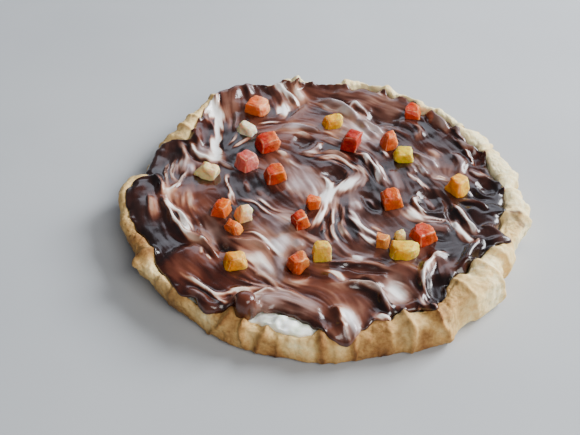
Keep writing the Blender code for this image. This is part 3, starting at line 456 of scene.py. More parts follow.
# Broad patches under the marks, those of warmth below 0 painted lilac sheen: x and y of the
# middle, radius, tone and warmth.
PATCHES = [
    (-100, 56, 18, 0.08, 0.3), (-100, 24, 16, 0.04, 0.3), (-112, 0, 12, 0.02, 0.4),
    (-100, -30, 16, 0.08, 0.4), (-98, -50, 12, 0.04, 0.5), (-90, -2, 12, 0.34, 0.6),
    (-80, 30, 12, 0.3, 0.3), (-84, 92, 12, 0.12, 0.6), (-80, 64, 10, 0.04, 0.7),
    (-56, 100, 14, 0.16, 0.4), (-56, 84, 10, 0.24, 0.4), (-48, 52, 12, 0.02, 0.5),
    (-34, 62, 12, 0.26, 0.6), (-40, 40, 10, 0.1, 0.5), (-56, 34, 10, 0.06, 0.4),
    (-72, 10, 12, 0.2, 0.4), (-60, 4, 12, 0.16, 0.5), (-48, 6, 12, 0.02, 0.5),
    (-46, -12, 12, 0.04, 0.5), (-34, 8, 10, 0, 0.5), (-80, -14, 10, 0.3, 0.7),
    (-82, -32, 10, 0.26, 0.6), (-64, -32, 12, 0.34, 0.1), (-80, -56, 16, 0.06, 0.8),
    (-66, -66, 14, 0.14, 0.9), (-48, -50, 10, 0.36, 0.5), (-60, -88, 14, 0.08, 0.7),
    (-34, -32, 14, 0.48, 0.2), (-32, -56, 12, 0.36, 0.3), (-34, -74, 12, 0.18, 0.4),
    (-16, -66, 10, 0.26, 0.6), (-16, -82, 12, 0.26, 0.5), (-34, -96, 12, 0.28, 0.1),
    (-16, -96, 12, 0.1, 0.3), (-46, -98, 8, 0.08, 0.7), (-34, 102, 12, 0.16, 0.3),
    (-30, 84, 12, 0.16, 0.3), (-16, 96, 12, 0.34, 0.3), (-14, 80, 12, 0.28, 0.4),
    (0, 106, 12, 0.16, 0.3), (0, 84, 12, 0.06, 0.4), (0, 66, 12, 0.36, 0.6),
    (24, 106, 14, 0.2, 0.2), (44, 98, 14, 0.14, 0.1), (20, 78, 8, 0.46, 0),
    (-14, 52, 12, 0.14, 0.5), (0, 48, 10, 0.18, 0.4), (16, 62, 10, 0.44, -0.2),
    (32, 60, 10, 0.44, -0.4), (0, 34, 10, 0.04, 0.5), (16, 34, 10, 0.05, 0.5),
    (8, 18, 10, 0.1, 0.4), (20, 10, 10, 0.08, 0.3), (-14, 16, 10, 0.46, -0.6),
    (-28, 26, 10, 0.34, 0.4), (-2, 2, 9, 0.62, -0.2), (0, -16, 10, 0.2, 0.3),
    (0, -32, 10, 0.12, 0.5), (14, -24, 12, 0.08, 0.4), (14, -38, 12, 0.05, 0.4),
    (28, -14, 12, 0.2, -0.3), (28, -30, 10, 0.24, -0.2), (4, -50, 12, 0.34, 0.2),
    (20, -50, 12, 0.24, 0.1), (20, -64, 12, 0.12, 0.4), (4, -76, 10, 0.36, 0.5),
    (10, -90, 12, 0.28, 0.3), (34, -80, 14, 0.36, -0.1), (34, -98, 10, 0.02, 0.6),
    (48, -98, 10, 0.06, 0.6), (48, 56, 12, 0.14, 0), (30, 20, 10, 0.04, -0.1),
    (46, 20, 12, 0.06, -0.3), (34, 0, 10, 0.1, 0), (48, 0, 12, 0.22, -0.3), (46, -20, 12, 0.24, 0),
    (44, -34, 12, 0.22, 0), (62, 64, 12, 0.02, 0.4), (62, 46, 12, 0.1, 0.3),
    (78, 50, 12, 0.02, 0.2), (78, 76, 12, 0.04, 0.3), (66, 30, 10, 0.46, -0.6),
    (80, 30, 10, 0.14, 0), (96, 34, 12, 0.01, 0.7), (96, 8, 12, 0, 0.3), (80, 14, 10, 0.38, 0),
    (64, 10, 10, 0.14, 0), (62, -10, 12, 0.06, 0), (80, -4, 10, 0.16, 0.1), (94, -16, 12, 0, 0.2),
    (62, -30, 12, 0.02, -0.2), (80, -32, 12, 0.1, 0), (96, -38, 12, 0.12, -0.4),
    (64, -50, 12, 0.02, 0.2), (80, -50, 12, 0, 0.5), (50, -62, 12, 0.16, 0.4),
    (64, -68, 10, 0.3, -0.4), (62, -86, 14, 0, 0.6), (80, -66, 10, 0.04, 0.6),
    (-50, -33, 8, 0.16, 0.3), (-16, -49, 8, 0.22, 0.2), (-16, 66, 8, 0.38, 0.2),
    (-33, 32, 8, 0.34, 0.4), (-19, -4, 7, 0.14, 0.3), (18, 1, 7, 0.34, 0),
]
# Painted shade and painted highlights over that: darker where the glossy chocolate reflects little
# light, lighter where it shines: x and y of the middle, half width and change.
PAINTED_SHADE_AND_HIGHLIGHTS = [
    (98, -3, 11, -0.26), (-97, -47, 12, -0.3), (65, -81, 12, -0.28), (23, -80, 13, -0.17),
    (33, -97, 8, -0.15), (14, -97, 8, 0.13), (2, -62, 10, -0.16), (50, -46, 9, 0.18),
    (82, -50, 11, -0.18), (-46, -28, 14, -0.15), (17, -25, 13, -0.15), (-97, 2, 9, 0.12),
    (34, 13, 9, -0.2), (33, 33, 8, 0.17), (98, 17, 9, 0.13), (-48, 49, 10, -0.19),
    (-2, 46, 9, -0.12), (-17, 66, 9, 0.14), (33, 66, 9, 0.14), (65, 63, 9, -0.2), (81, 62, 8, 0.14),
    (-16, 96, 10, 0.2), (48, 88, 13, 0.14), (-65, 80, 9, 0.12),
]
# Colours of plain and warm chocolate, and of chocolate with a painted lilac reflection of the
# cool window light, from dark to white: place on the scale of tones, then red, green and blue.
CHOCOLATES = {
    "plain": [(0.03, 24, 13, 11), (0.18, 50, 26, 20), (0.33, 88, 54, 44), (0.53, 146, 110, 96),
              (0.68, 198, 174, 162), (0.85, 240, 234, 226), (1, 255, 253, 250)],
    "warm": [(0.03, 32, 12, 8), (0.18, 70, 28, 17), (0.33, 112, 56, 36), (0.53, 176, 114, 80),
             (0.68, 224, 176, 138), (0.85, 250, 226, 200), (1, 255, 250, 240)],
    "painted_sheen": [(0.03, 26, 14, 12), (0.18, 54, 31, 27), (0.33, 88, 62, 58), (0.53, 138, 122, 126),
             (0.68, 182, 178, 190), (0.85, 226, 230, 240), (1, 250, 254, 255)],
}

# ---- candied fruit ----
# Name, width, depth, height, turn, lean, skew of its top in x and y, taper of its top,
# roundness, and the two colours that it shades between: its deep colour low on its left, and a
# paler one painted on its right and top, where the light falls.
FRUIT = [
    ("orange_01", 15, 12.5, 9.6, -36, 4, 0, 0, 0.9, 0.55, (214, 92, 30), (236, 164, 118)),
    ("pale_02", 12.5, 9, 7.8, -38, 6, 0, 0, 0.75, 0.75, (236, 216, 172), (244, 238, 216)),
    ("red_03", 15.2, 12.4, 10.2, 28, 3, 0.5, 0, 0.85, 0.45, (173, 22, 0), (212, 120, 63)),
    ("pink_04", 11.8, 11.8, 10.6, 42, 4, 0.5, 0.5, 0.8, 0.3, (188, 74, 66), (198, 128, 116)),
    ("orange_05", 13, 12, 10, 22, 3, 0, 0, 0.8, 0.4, (176, 42, 0), (198, 104, 8)),
    ("pale_06", 15, 9.5, 8.6, -34, 6, 1, 0.5, 0.85, 0.45, (240, 212, 146), (240, 216, 164)),
    ("orange_07", 11, 11, 11, -24, 5, 0.8, 0.5, 0.75, 0.4, (206, 66, 8), (220, 124, 22)),
    ("peach_08", 9.6, 10, 10, 28, 4, 0.6, 0, 0.7, 0.6, (236, 168, 96), (250, 230, 190)),
    ("orange_09", 10.5, 7.6, 7.6, -30, 5, -0.8, 0.4, 0.65, 0.8, (190, 76, 8), (226, 146, 52)),
    ("yellow_10", 12.2, 10.4, 9.4, 16, 4, 0, 0, 0.75, 0.7, (226, 142, 6), (229, 190, 87)),
    ("orange_11", 11.5, 10, 9.2, 40, 5, 0.4, 0.3, 0.85, 0.4, (184, 64, 2), (201, 129, 66)),
    ("pale_12", 11, 7.5, 12.6, 2, 3, -0.5, 0.2, 0.9, 0.35, (225, 177, 47), (230, 201, 112)),
    ("red_13", 10.5, 9.5, 10.4, 30, 6, -1.2, 0.5, 0.8, 0.45, (169, 31, 0), (209, 120, 48)),
    ("peach_14", 8.6, 7.2, 8.6, 4, 7, 0.2, 0.4, 1.2, 0.35, (204, 83, 26), (214, 134, 65)),
    ("yellow_15", 12.5, 10, 9, 22, 4, 0, 0, 0.8, 0.55, (231, 159, 3), (227, 198, 57)),
    ("red_16", 11.6, 13.8, 11, -24, 5, 0.5, 0.6, 0.8, 0.35, (151, 15, 2), (173, 50, 24)),
    ("orange_17", 9.5, 10, 12, 18, 4, 0.3, 0.4, 0.6, 0.65, (204, 82, 28), (228, 138, 78)),
    ("yellow_18", 12.8, 11.6, 8, 2, 2, -0.3, 0.2, 0.95, 0.5, (211, 173, 13), (220, 200, 49)),
    ("orange_19", 11.2, 12, 9.8, -8, 3, -0.8, 0.3, 0.8, 0.5, (184, 43, 2), (216, 112, 32)),
    ("yellow_20", 12.5, 11.5, 10, 42, 4, 0, 0.4, 0.62, 0.45, (226, 142, 6), (234, 200, 84)),
    ("orange_21", 13, 11.4, 11.2, 12, 5, -1, 0.4, 0.9, 0.35, (184, 65, 2), (209, 116, 33)),
    ("red_22", 13.2, 12.6, 9, 34, 5, -0.6, 0.4, 0.85, 0.35, (175, 45, 14), (192, 88, 26)),
    ("yellow_23", 17, 11.6, 9, -6, 4, 0, 0.3, 0.85, 0.7, (227, 169, 24), (231, 217, 95)),
    ("orange_24", 7.2, 8.2, 8.4, -12, 4, -0.3, 0, 0.85, 0.6, (190, 108, 43), (211, 147, 63)),
    ("pale_25", 7, 5.4, 7, 24, 3, 0, 0, 0.8, 0.5, (215, 188, 104), (228, 215, 160)),
]
SUGAR = (255, 222, 176)       # colour of the sugar on the fruit's edges

# ---- light and camera ----
# Soft boxes that face the tart: name, azimuth (0 behind it, 90 to its right), elevation,
# distance, width and height, power and colour.
LIGHTS = [
    ("window", 64, 34, 1.6, (0.9, 0.8), 66, (0.93, 0.96, 1.0)),
    ("far wall", 16, 28, 1.7, (2.0, 0.8), 10, (0.80, 0.86, 1.0)),
    ("room", 150, 42, 1.8, (1.2, 0.9), 26, (1.0, 0.97, 0.93)),
]
CAMERA_PLACE = (-0.020, -0.4324, 0.3702)
CAMERA_ELEVATION = 40.5
CAMERA_LENS = 57.7            # focal length in mm over a sensor 36 mm wide


def ease(t):
    """Rises smoothly from 0 to 1 as t does, and is level beyond."""
    t = np.clip(t, 0, 1)
    return t * t * (3 - 2 * t)


def turn(a, b):
    """Signed angles from b to a, between -180 and 180."""
    return (a - b + 180) % 360 - 180


def keyed(keys, angle, column=1):
    """Values at angles of a closed list of keys, eased between neighbours."""
    at = np.array([k[0] for k in keys] + [keys[0][0] + 360.0])
    value = np.array([k[column] for k in keys] + [keys[0][column]], float)
    a = (np.asarray(angle, float) - at[0]) % 360 + at[0]
    i = np.clip(np.searchsorted(at, a, side="right") - 1, 0, len(keys) - 1)
    return value[i] + (value[i + 1] - value[i]) * ease((a - at[i]) / (at[i + 1] - at[i]))


def bump(distance, half_width):
    """1 in the middle, 0 from one half width on, smooth in between."""
    x = np.minimum(1.0, np.abs(distance) / half_width)
    return (1 - x * x) ** 2


def window(angle):
    """1 in the middle of the cream's window, 0 outside it."""
    return bump(turn(angle, CREAM_WINDOW["middle"]), CREAM_WINDOW["half"]) ** 0.5


def rolled(angle):
    """How far the rolls between the creases swell out."""
    return sum(out * bump(turn(angle, middle), half) for middle, half, out in ROLLS)


def rim_radius(angle):
    return keyed(RIM, angle) + 0.3 * rolled(angle)


def rim_height(angle):
    return keyed(RIM, angle, 2) + 0.2 * rolled(angle)


def crease(angle, down):
    """Depth of the creases, which fade down the wall."""
    fade = 1 - 0.75 * down
    return fade * sum(
        depth * bump(turn(angle, middle + slant * down), half)
        for middle, slant, depth, half in CREASES
    )


def inner_radius(angle):
    """Inside of the shell, where the filling ends."""
    wall = rim_radius(angle) - RIM_LEAST - 0.5 * crease(angle, 0.3)
    filled = keyed(EDGE, angle) + CREAM_WINDOW["width"] * window(angle)
    return np.minimum(filled + EDGE_GAP, wall)


def edge_radius(angle):
    """Radius of the chocolate's edge: inside the rim, or over it where the rim is pressed low."""
    inside = inner_radius(angle) - CREAM_WINDOW["width"] * window(angle) - EDGE_GAP
    lap = np.clip((RIM_PRESSED - rim_height(angle)) / 0.5, 0, 1)
    return inside + lap * (np.minimum(keyed(EDGE, angle), rim_radius(angle)) - inside)


def polar(angle, radius, z):
    a = np.radians(angle)
    return np.stack(np.broadcast_arrays(radius * np.cos(a), radius * np.sin(a), z), -1)


# ---- noise and lines ----
def hashed(i, j, k, seed):
    """A number between -1 and 1 for each lattice point."""
    h = (i * 374761393 + j * 668265263 + k * 2246822519 + seed * 3266489917) & 0xFFFFFFFF
    h = ((h ^ (h >> 15)) * 2654435761) & 0xFFFFFFFF
    h = ((h ^ (h >> 13)) * 1274126177) & 0xFFFFFFFF
    return ((h >> 8) & 0xFFFF) / 32767.5 - 1


def noise(p, seed=0):
    """Smooth value noise at points, about one wave per unit."""
    base = np.floor(p).astype(np.int64)
    f = p - base
    f = f * f * f * (f * (f * 6 - 15) + 10)
    total = 0.0
    for corner in itertools.product((0, 1), repeat=3):
        weight = 1.0
        for axis in range(3):
            weight = weight * (f[..., axis] if corner[axis] else 1 - f[..., axis])
        i, j, k = (base[..., axis] + corner[axis] for axis in range(3))
        total = total + weight * hashed(i, j, k, seed)
    return total


def fractal(p, seed=0, octaves=3):
    """Noise with finer noise added, each octave half as strong and about twice as fine."""
    total, size = 0.0, 1.0
    for n in range(octaves):
        total = total + size * noise(p, seed + n)
        p, size = p * 2.03, size * 0.5
    return total


def spline(points, steps):
    """A smooth line through points, with a number of steps in each span."""
    p = np.array([points[0], *points, points[-1]], float)
    t = np.linspace(0, 1, steps, endpoint=False)[:, None]
    spans = []
    for a, b, c, d in zip(p, p[1:], p[2:], p[3:]):
        bend = 2 * a - 5 * b + 4 * c - d
        spans.append(0.5 * (2 * b + (c - a) * t + bend * t**2 + (3 * b - a - 3 * c + d) * t**3))
    return np.vstack([*spans, p[-1:]])


# ---- meshes ----
def add_mesh(name, vertices, faces, slot, material, node, **layers):
    """A mesh in millimetres in place of a node, with a number at each vertex in every layer."""
    mesh = bpy.data.meshes.new(name)
    mesh.from_pydata((vertices * MM).tolist(), [], [f for block in faces for f in block.tolist()])
    mesh.update()
    mesh.shade_smooth()
    for layer, values in layers.items():
        made = mesh.attributes.new(layer, "FLOAT", "POINT")
        made.data.foreach_set("value", np.asarray(values, np.float32))
    piece = bpy.data.objects.new(name, mesh)
    piece.data.materials.append(material)
    bpy.context.scene.collection.objects.link(piece)
    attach(piece, "root")
    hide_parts(node)
    return piece


def smoothed_rings(angle, section, per_span):
    """Rings of points that follow a section, a radius and a height at every angle, smoothly."""
    rows = np.stack([polar(angle, radius, z) for radius, z in section])
    padded = np.concatenate([rows[:1], rows, rows[-1:]])
    t = np.linspace(0, 1, per_span, endpoint=False)[:, None, None]
    rings = []
    for a, b, c, d in zip(padded, padded[1:], padded[2:], padded[3:]):
        rings.append((a * (1 - t) ** 3 + b * (3 * t**3 - 6 * t**2 + 4)
                      + c * (-3 * t**3 + 3 * t**2 + 3 * t + 1) + d * t**3) / 6)
    return np.concatenate([*rings, rows[-1:]])


def ring_normals(rings):
    down = np.gradient(rings, axis=0)
    across = np.roll(rings, -1, 1) - np.roll(rings, 1, 1)
    normal = np.cross(across, down)
    return normal / (np.linalg.norm(normal, axis=-1, keepdims=True) + 1e-9)


def ring_faces(rings):
    """Quads between rings of points, each of which closes on itself."""
    index = np.arange(rings.shape[0] * rings.shape[1]).reshape(rings.shape[:2])
    after = np.roll(index, -1, 1)
    return np.stack([index[:-1], after[:-1], after[1:], index[1:]], -1).reshape(-1, 4)


def fan(middle, ring):
    """Triangles from a middle vertex to each side of a closed ring."""
    return np.stack([np.full(len(ring), middle), ring, np.roll(ring, -1)], -1)


# ---- materials ----
def srgb(r, g, b):
    """A display colour, 0 to 255, as a linear colour with alpha."""
    def linear(v):
        v /= 255
        return v / 12.92 if v <= 0.04045 else ((v + 0.055) / 1.055) ** 2.4
    return (linear(r), linear(g), linear(b), 1.0)


class Look:
    """A material of nodes round one shader; what its methods return goes into other nodes."""

    def __init__(self, name, **inputs):
        """Inputs of the shader are named with underscores for spaces."""
        self.material = bpy.data.materials.new(name)
        self.material.use_nodes = True
        self.tree = self.material.node_tree
        self.shader = self.tree.nodes["Principled BSDF"]
        self.shader.inputs["Subsurface Scale"].default_value = 1.0
        for key, value in inputs.items():
            self.shader.inputs[key.replace("_", " ")].default_value = value
        self.place = self.node("TexCoord").outputs["Object"]

    def put(self, socket, value):
        """Sets an input, or links it where the value is another node's output."""
        if isinstance(value, bpy.types.NodeSocket):
            self.tree.links.new(value, socket)
        else:
            socket.default_value = value

    def node(self, kind, inputs=None, **settings):
        item = self.tree.nodes.new(f"ShaderNode{kind}")
        for key, value in settings.items():
            setattr(item, key, value)
        for key, value in (inputs or {}).items():
            self.put(item.inputs[key], value)
        return item

    def clouds(self, scale, detail, roughness=0.5):
        inputs = {"Vector": self.place, "Scale": scale, "Detail": detail, "Roughness": roughness}
        return self.node("TexNoise", inputs).outputs["Fac"]

    def layer(self, name):
        """A number that the mesh has at each vertex."""
        return self.node("Attribute", attribute_name=name).outputs["Fac"]

    def times_plus(self, first, factor, added):
        inputs = {0: first, 1: factor, 2: added}
        return self.node("Math", inputs, operation="MULTIPLY_ADD").outputs[0]

    def ramp(self, factor, *stops):
        """Colours between stops: a place from 0 to 1, then red, green and blue."""
        item = self.node("ValToRGB", {"Fac": factor})
        elements = item.color_ramp.elements
        for place, *_ in stops[1:-1]:
            elements.new(place)
        for element, (place, *colour) in zip(elements, stops):
            element.position = place
            element.color = srgb(*colour)
        return item.outputs["Color"]

    def mixed(self, factor, first, second, blend="MIX"):
        item = self.node("Mix", data_type="RGBA", blend_type=blend)
        for key, value in (("Factor", factor), ("A", first), ("B", second)):
            self.put(next(s for s in item.inputs if s.name == key and s.enabled), value)
        return next(s for s in item.outputs if s.enabled)

    def finished(self, colour, height=None, strength=0.0, distance=0.0):
        """The material, with its colour and, where there is a height, with bumps in metres."""
        self.put(self.shader.inputs["Base Color"], colour)
        if height is not None:
            inputs = {"Height": height, "Strength": strength, "Distance": distance}
            self.put(self.shader.inputs["Normal"], self.node("Bump", inputs).outputs["Normal"])
        return self.material


def pastry_material():
    look = Look("pastry", Roughness=0.72, Specular_IOR_Level=0.25, Subsurface_Weight=0.08,
                Subsurface_Radius=(0.003, 0.0018, 0.0008))
    mottle = look.clouds(90, 6)
    flakes = look.clouds(420, 8, 0.7)
    # the bake layer carries the crust's browning together with painted light and painted shade
    bake = look.times_plus(mottle, 0.2, look.layer("bake"))
    baked = look.ramp(bake, (0.1, 255, 237, 190), (0.3, 240, 208, 150), (0.5, 212, 178, 122),
                      (0.7, 180, 142, 88), (0.9, 136, 96, 54), (1, 74, 44, 24))
    floury = look.ramp(flakes, (0.35, 150, 120, 80), (0.62, 250, 240, 220))
    crumb = look.mixed(0.55, baked, floury, "SOFT_LIGHT")
    colour = look.mixed(look.layer("smear"), crumb, srgb(70, 30, 18))
    return look.finished(colour, look.times_plus(flakes, 1, mottle), 0.8, 0.0009)


def cream_material():
    look = Look("cream", Roughness=0.38, Subsurface_Weight=0.25,
                Subsurface_Radius=(0.004, 0.0035, 0.0025))
    cloud = look.clouds(160, 4)
    colour = look.ramp(cloud, (0.3, 222, 230, 208), (0.7, 255, 255, 248))
    return look.finished(colour, cloud, 0.2, 0.0005)


def chocolate_material():
    look = Look("marbled chocolate", Roughness=0.22, Specular_IOR_Level=0.42, Coat_Weight=0.24,
                Coat_Roughness=0.1)
    fine = look.clouds(300, 5)
    tone = look.times_plus(fine, 0.06, look.layer("tone"))
    plain, warm, painted_sheen = (look.ramp(tone, *stops) for stops in CHOCOLATES.values())
    warmth = look.layer("warm")
    # warmth below 0 mixes in the painted lilac reflection of the cool window light
    painted_sheen_share = look.times_plus(warmth, -1, 0)
    redder = look.mixed(look.node("Clamp", {"Value": warmth}).outputs[0], plain, warm)
    colour = look.mixed(look.node("Clamp", {"Value": painted_sheen_share}).outputs[0], redder, painted_sheen)
    return look.finished(colour, fine, 0.06, 0.0004)


def fruit_material(name, first, second):
    """Candied fruit: one colour shading into another, painted paler towards its lit right and top,
    and paler and sugary on its edges.
    """
    look = Look(f"candied {name}", Roughness=0.4, Specular_IOR_Level=0.16, Sheen_Weight=0.04,
                Sheen_Roughness=0.2, Coat_Weight=0.06, Coat_Roughness=0.2,
                Subsurface_Weight=0.75, Subsurface_Radius=(0.005, 0.0022, 0.0008))
    cells = look.clouds(420, 4)
    sugar = look.node("TexVoronoi", {"Vector": look.place, "Scale": 1300}).outputs["Distance"]
    # painted light: the side layer moves towards the paler, lit colour
    across = look.times_plus(cells, 0.9, look.layer("side"))
    spread = look.node("MapRange", {"Value": across, "From Min": 0.95, "From Max": 1.6})
    body = look.mixed(spread.outputs["Result"], srgb(*first), srgb(*second))
    mottle = look.ramp(cells, (0.35, 120, 110, 105), (0.65, 255, 255, 255))
    body = look.mixed(0.16, body, mottle, "MULTIPLY")
    specks = look.ramp(sugar, (0.1, 70, 70, 70), (0.35, 0, 0, 0))
    body = look.mixed(specks, body, srgb(*SUGAR))
    colour = look.mixed(look.layer("frost"), body, srgb(*SUGAR))
    return look.finished(colour, look.times_plus(sugar, 0.5, cells), 0.6, 0.0006)


# ---- pastry ----
def folded(angle, down):
    """Swell of the folds at an angle; down is 0 at the rim and 1 at the foot."""
    swell = np.zeros(np.broadcast(angle, down).shape)
    for rim, foot, wide, narrow, out, crisp in FOLDS:
        t = turn(angle, rim + (foot - rim) * down) / (wide + (narrow - wide) * down)
        t = np.clip(t, -1, 1)
        steep = (t * crisp > 0) | (crisp == 2)          # the crisp side of a fold ends steeply
        swell = np.maximum(swell, out * np.where(steep, (1 - t * t) ** 0.6, 1 - t * t))
    return swell


def cracked(angle, down, wall):
    """How deep the cracks go, and how much shade is painted in them, on the wall of the crust."""
    depths, painted_crack_shade = np.zeros(down.shape), np.zeros(down.shape)
    for rim, foot, half, depth in CRACKS:
        across = turn(angle, rim + (foot - rim) * down)
        mark = bump(across, half * (1.9 - 0.6 * down)) ** 1.6 * wall
        depths += depth * mark * (1 - 0.35 * down)
        painted_crack_shade = np.maximum(painted_crack_shade, mark * min(1, depth / 1.8))
    return depths, painted_crack_shade


def smeared(points):
    """How much chocolate is smeared on each point of the crust."""
    smear = np.zeros(points.shape[:-1])
    for x, y, radius, amount in SMEARS:
        away = np.hypot(points[..., 0] - x, points[..., 1] - y) + 2.0 * noise(points / 3.0, 27)
        smear = np.maximum(smear, amount * np.clip(1.4 * bump(away, radius), 0, 1))
    return smear


def within_solids(points):
    """Points of the crust, held to the box of the solids and a little more, its foot flat."""
    low, high = np.array(cad_low) / MM, np.array(cad_high) / MM
    points = np.clip(points, (low[0] - PROUD, low[1] - PROUD, 0),
                     (high[0] + PROUD, high[1] + PROUD, high[2]))
    points[-1, :, 2] = 0
    return points


def crust_rings(angle):
    """The crust's smooth form: rings from the foot inside it, over the rim, to the foot outside."""
    inside = inner_radius(angle) - 0.8
    outside, top = rim_radius(angle), rim_height(angle)
    base = keyed(FOOT, angle)
    width = outside - inside
    low = np.minimum(top - 2.0, CREAM_LEVEL)
    thin = bump(turn(angle, 100), 62)         # at the back the rim falls away behind the filling
    dip = window(angle)                       # under the cream, which swells over it
    return smoothed_rings(angle, [
        (np.minimum(inside, base - 4.0), WALL_FOOT),
        (inside - 0.6, low - 1.5 - dip),
        (inside + 0.02 * width, top - 1.4 - 1.4 * dip),
        (inside + 0.28 * width, top + 0.5 - 0.2 * thin - 1.3 * dip),
        (inside + 0.62 * width, top + 0.3 - 1.2 * thin),
        (inside + 0.93 * width, top - 1.1 - 0.6 * thin),
        (outside + 0.9, 0.80 * top),
        (0.75 * outside + 0.25 * base + 1.4, 0.55 * top),
        (0.45 * outside + 0.55 * base + 1.4, 0.28 * top),
        (0.1 * outside + 0.9 * base + 0.4, 0.10 * top),
        (base - 2.4, 0.0),
        (base - 7.5, 0.0),
    ], PASTRY_SPAN)


def baked(angle, row, down, points):
    """How brown the crust is, with painted light and shade, from the top of the rim down its wall,
    with a slight mottling.
    """
    on_top, high, deep = (keyed(BAKE_AND_PAINTED_LIGHT, angle, column) for column in (1, 2, 3))
    outer = np.clip((row - 0.42) / 0.16, 0, 1)
    # darker towards the foot of the wall, largely painted shade
    bake = on_top + (high - on_top) * outer + (deep - high) * ease(down) * outer
    return bake + 0.05 * fractal(points / 12.0, 21) + 0.04 * fractal(points / 3.0, 25)


def build_pastry():
    angle = np.arange(PASTRY_STEPS) * 360 / PASTRY_STEPS
    rings = crust_rings(angle)
    row = np.arange(len(rings))[:, None] / (len(rings) - 1)        # 0 inside the tart, 1 under it
    down = np.clip(1 - rings[..., 2] / (0.85 * rim_height(angle)), 0, 1)
    # the folds stand out over the rim and down the wall, and fade inside and under the crust
    at_wall = np.clip((row - 0.10) / 0.14, 0, 1) * ease((0.94 - row) / 0.20)

    # folds that lie one over the next, cracks between them and a rough, flaky surface
    wander = 1.1 * noise(rings / 6.0, 3) + 0.5 * noise(rings / 2.4, 4)
    swell = folded(angle + wander, down)
    swell = swell + (0.9 - swell) * 0.4 * ease((down - 0.5) / 0.5)
    wrinkle = 1 - np.abs(noise(rings * (0.30, 0.30, 0.16), 6))
    rough = (0.55 * noise(rings / 6.5, 5) + 0.40 * fractal(rings / 3.4, 9, 2)
             + 0.45 * (wrinkle**3 - 0.4))
    rounded = sum(share * np.roll(1.75 * swell, n, 1) for n, share in ROUNDING)
    depths, painted_crack_shade = cracked(angle + 0.5 * wander, down, at_wall)
    push = at_wall * (rounded - 1.6 + rough) - depths
    points = within_solids(rings + ring_normals(rings) * push[..., None])

    # painted shade: darker between the folds, in the hollows of the rough surface and in the cracks
    bake = baked(angle, row, down, points)
    bake = bake + 0.06 * np.clip(1 - swell / 0.9, 0, 1) ** 1.5 * at_wall - 0.05 * rough
    bake = bake + 0.16 * painted_crack_shade**1.5

    index = np.arange(bake.size).reshape(bake.shape)
    vertices = np.vstack([points.reshape(-1, 3), (0, 0, FLOOR_THICKNESS), (0, 0, 0)])
    faces = [ring_faces(points), fan(bake.size, index[0])[:, [0, 2, 1]],
             fan(bake.size + 1, index[-1])]
    return add_mesh("pastry", vertices, faces, "pastry", pastry_material(), "pastry_shell",
                    bake=[*bake.ravel(), 0.3, 0.3], smear=[*smeared(points).ravel(), 0, 0])


# ---- cream ----
def build_cream():
    angle = np.arange(CREAM_STEPS) * 360 / CREAM_STEPS
    open_at = window(angle)
    edge, wide = edge_radius(angle), CREAM_WINDOW["width"] * open_at
    swell = CREAM_WINDOW["swell"] * np.clip(open_at - 0.25, 0, 1) / 0.75
    inside = inner_radius(angle)
    points = smoothed_rings(angle, [
        (np.minimum(inside, keyed(FOOT, angle) - 5) - 2.0, WALL_FOOT),
        (inside + 0.2 + 0.8 * open_at, CREAM_LEVEL - 3.0 + 0.5 * swell),
        (inside + 0.2 + 1.6 * open_at, CREAM_LEVEL - 1.4 + 0.7 * swell),
        (inside + 0.2 + 0.6 * open_at, CREAM_LEVEL - 0.2 + 0.95 * swell),
        (edge + 0.55 * wide, CREAM_LEVEL + 0.1 + 1.2 * swell),
        (edge - 1.0 + 0.2 * wide, CREAM_LEVEL + 0.9 * swell),
        (edge - 4.0, CREAM_LEVEL),
        (edge - 12.0, CREAM_LEVEL),
    ], CREAM_SPAN)
    lumps = 1.7 * fractal(points / (5.0, 4.0, 5.0), 41, 2) * open_at
    lumpy = slice(10, None)                   # the rings at its foot stay smooth
    points[lumpy, :, 2] += lumps[lumpy]
    index = np.arange(lumps.size).reshape(lumps.shape)
    vertices = np.vstack([points.reshape(-1, 3), (0, 0, CREAM_LEVEL)])
    faces = [ring_faces(points), fan(lumps.size, index[-1])]
    add_mesh("cream", vertices, faces, "cream", cream_material(), "cream_filling")


# ---- the marbling ----
def stroke_marks(x, y, points, reach):
    """For points near a stroke: their indices, distance, place along it, and its heading."""
    line = spline(points, STROKE_STEPS)
    low, high = line.min(0) - reach, line.max(0) + reach
    near = np.flatnonzero((x > low[0]) & (x < high[0]) & (y > low[1]) & (y < high[1]))
    px, py = x[near], y[near]
    best = np.full(len(near), 1e9)
    along, heading_x, heading_y = np.zeros(len(near)), np.ones(len(near)), np.zeros(len(near))
    total = len(line) - 1
    for i, ((ax, ay), (bx, by)) in enumerate(zip(line, line[1:])):
        dx, dy = bx - ax, by - ay
        length = math.hypot(dx, dy) + 1e-9
        t = np.clip(((px - ax) * dx + (py - ay) * dy) / length**2, 0, 1)
        away = np.hypot(px - ax - t * dx, py - ay - t * dy)
        closer = away < best
        best[closer] = away[closer]
        along[closer] = (i + t[closer]) / total
        heading_x[closer], heading_y[closer] = dx / length, dy / length
    return near, best, along, heading_x, heading_y


def sampled(field, x, y):
    """Values of a square field of the marbling at points, between its cells."""
    size = len(field)
    i = np.clip((x + FIELD_HALF) / (2 * FIELD_HALF) * (size - 1), 0, size - 1.001)
    j = np.clip((y + FIELD_HALF) / (2 * FIELD_HALF) * (size - 1), 0, size - 1.001)
    i0, j0 = i.astype(int), j.astype(int)
    fi, fj = i - i0, j - j0
    return ((field[i0, j0] * (1 - fi) + field[i0 + 1, j0] * fi) * (1 - fj)
            + (field[i0, j0 + 1] * (1 - fi) + field[i0 + 1, j0 + 1] * fi) * fj)


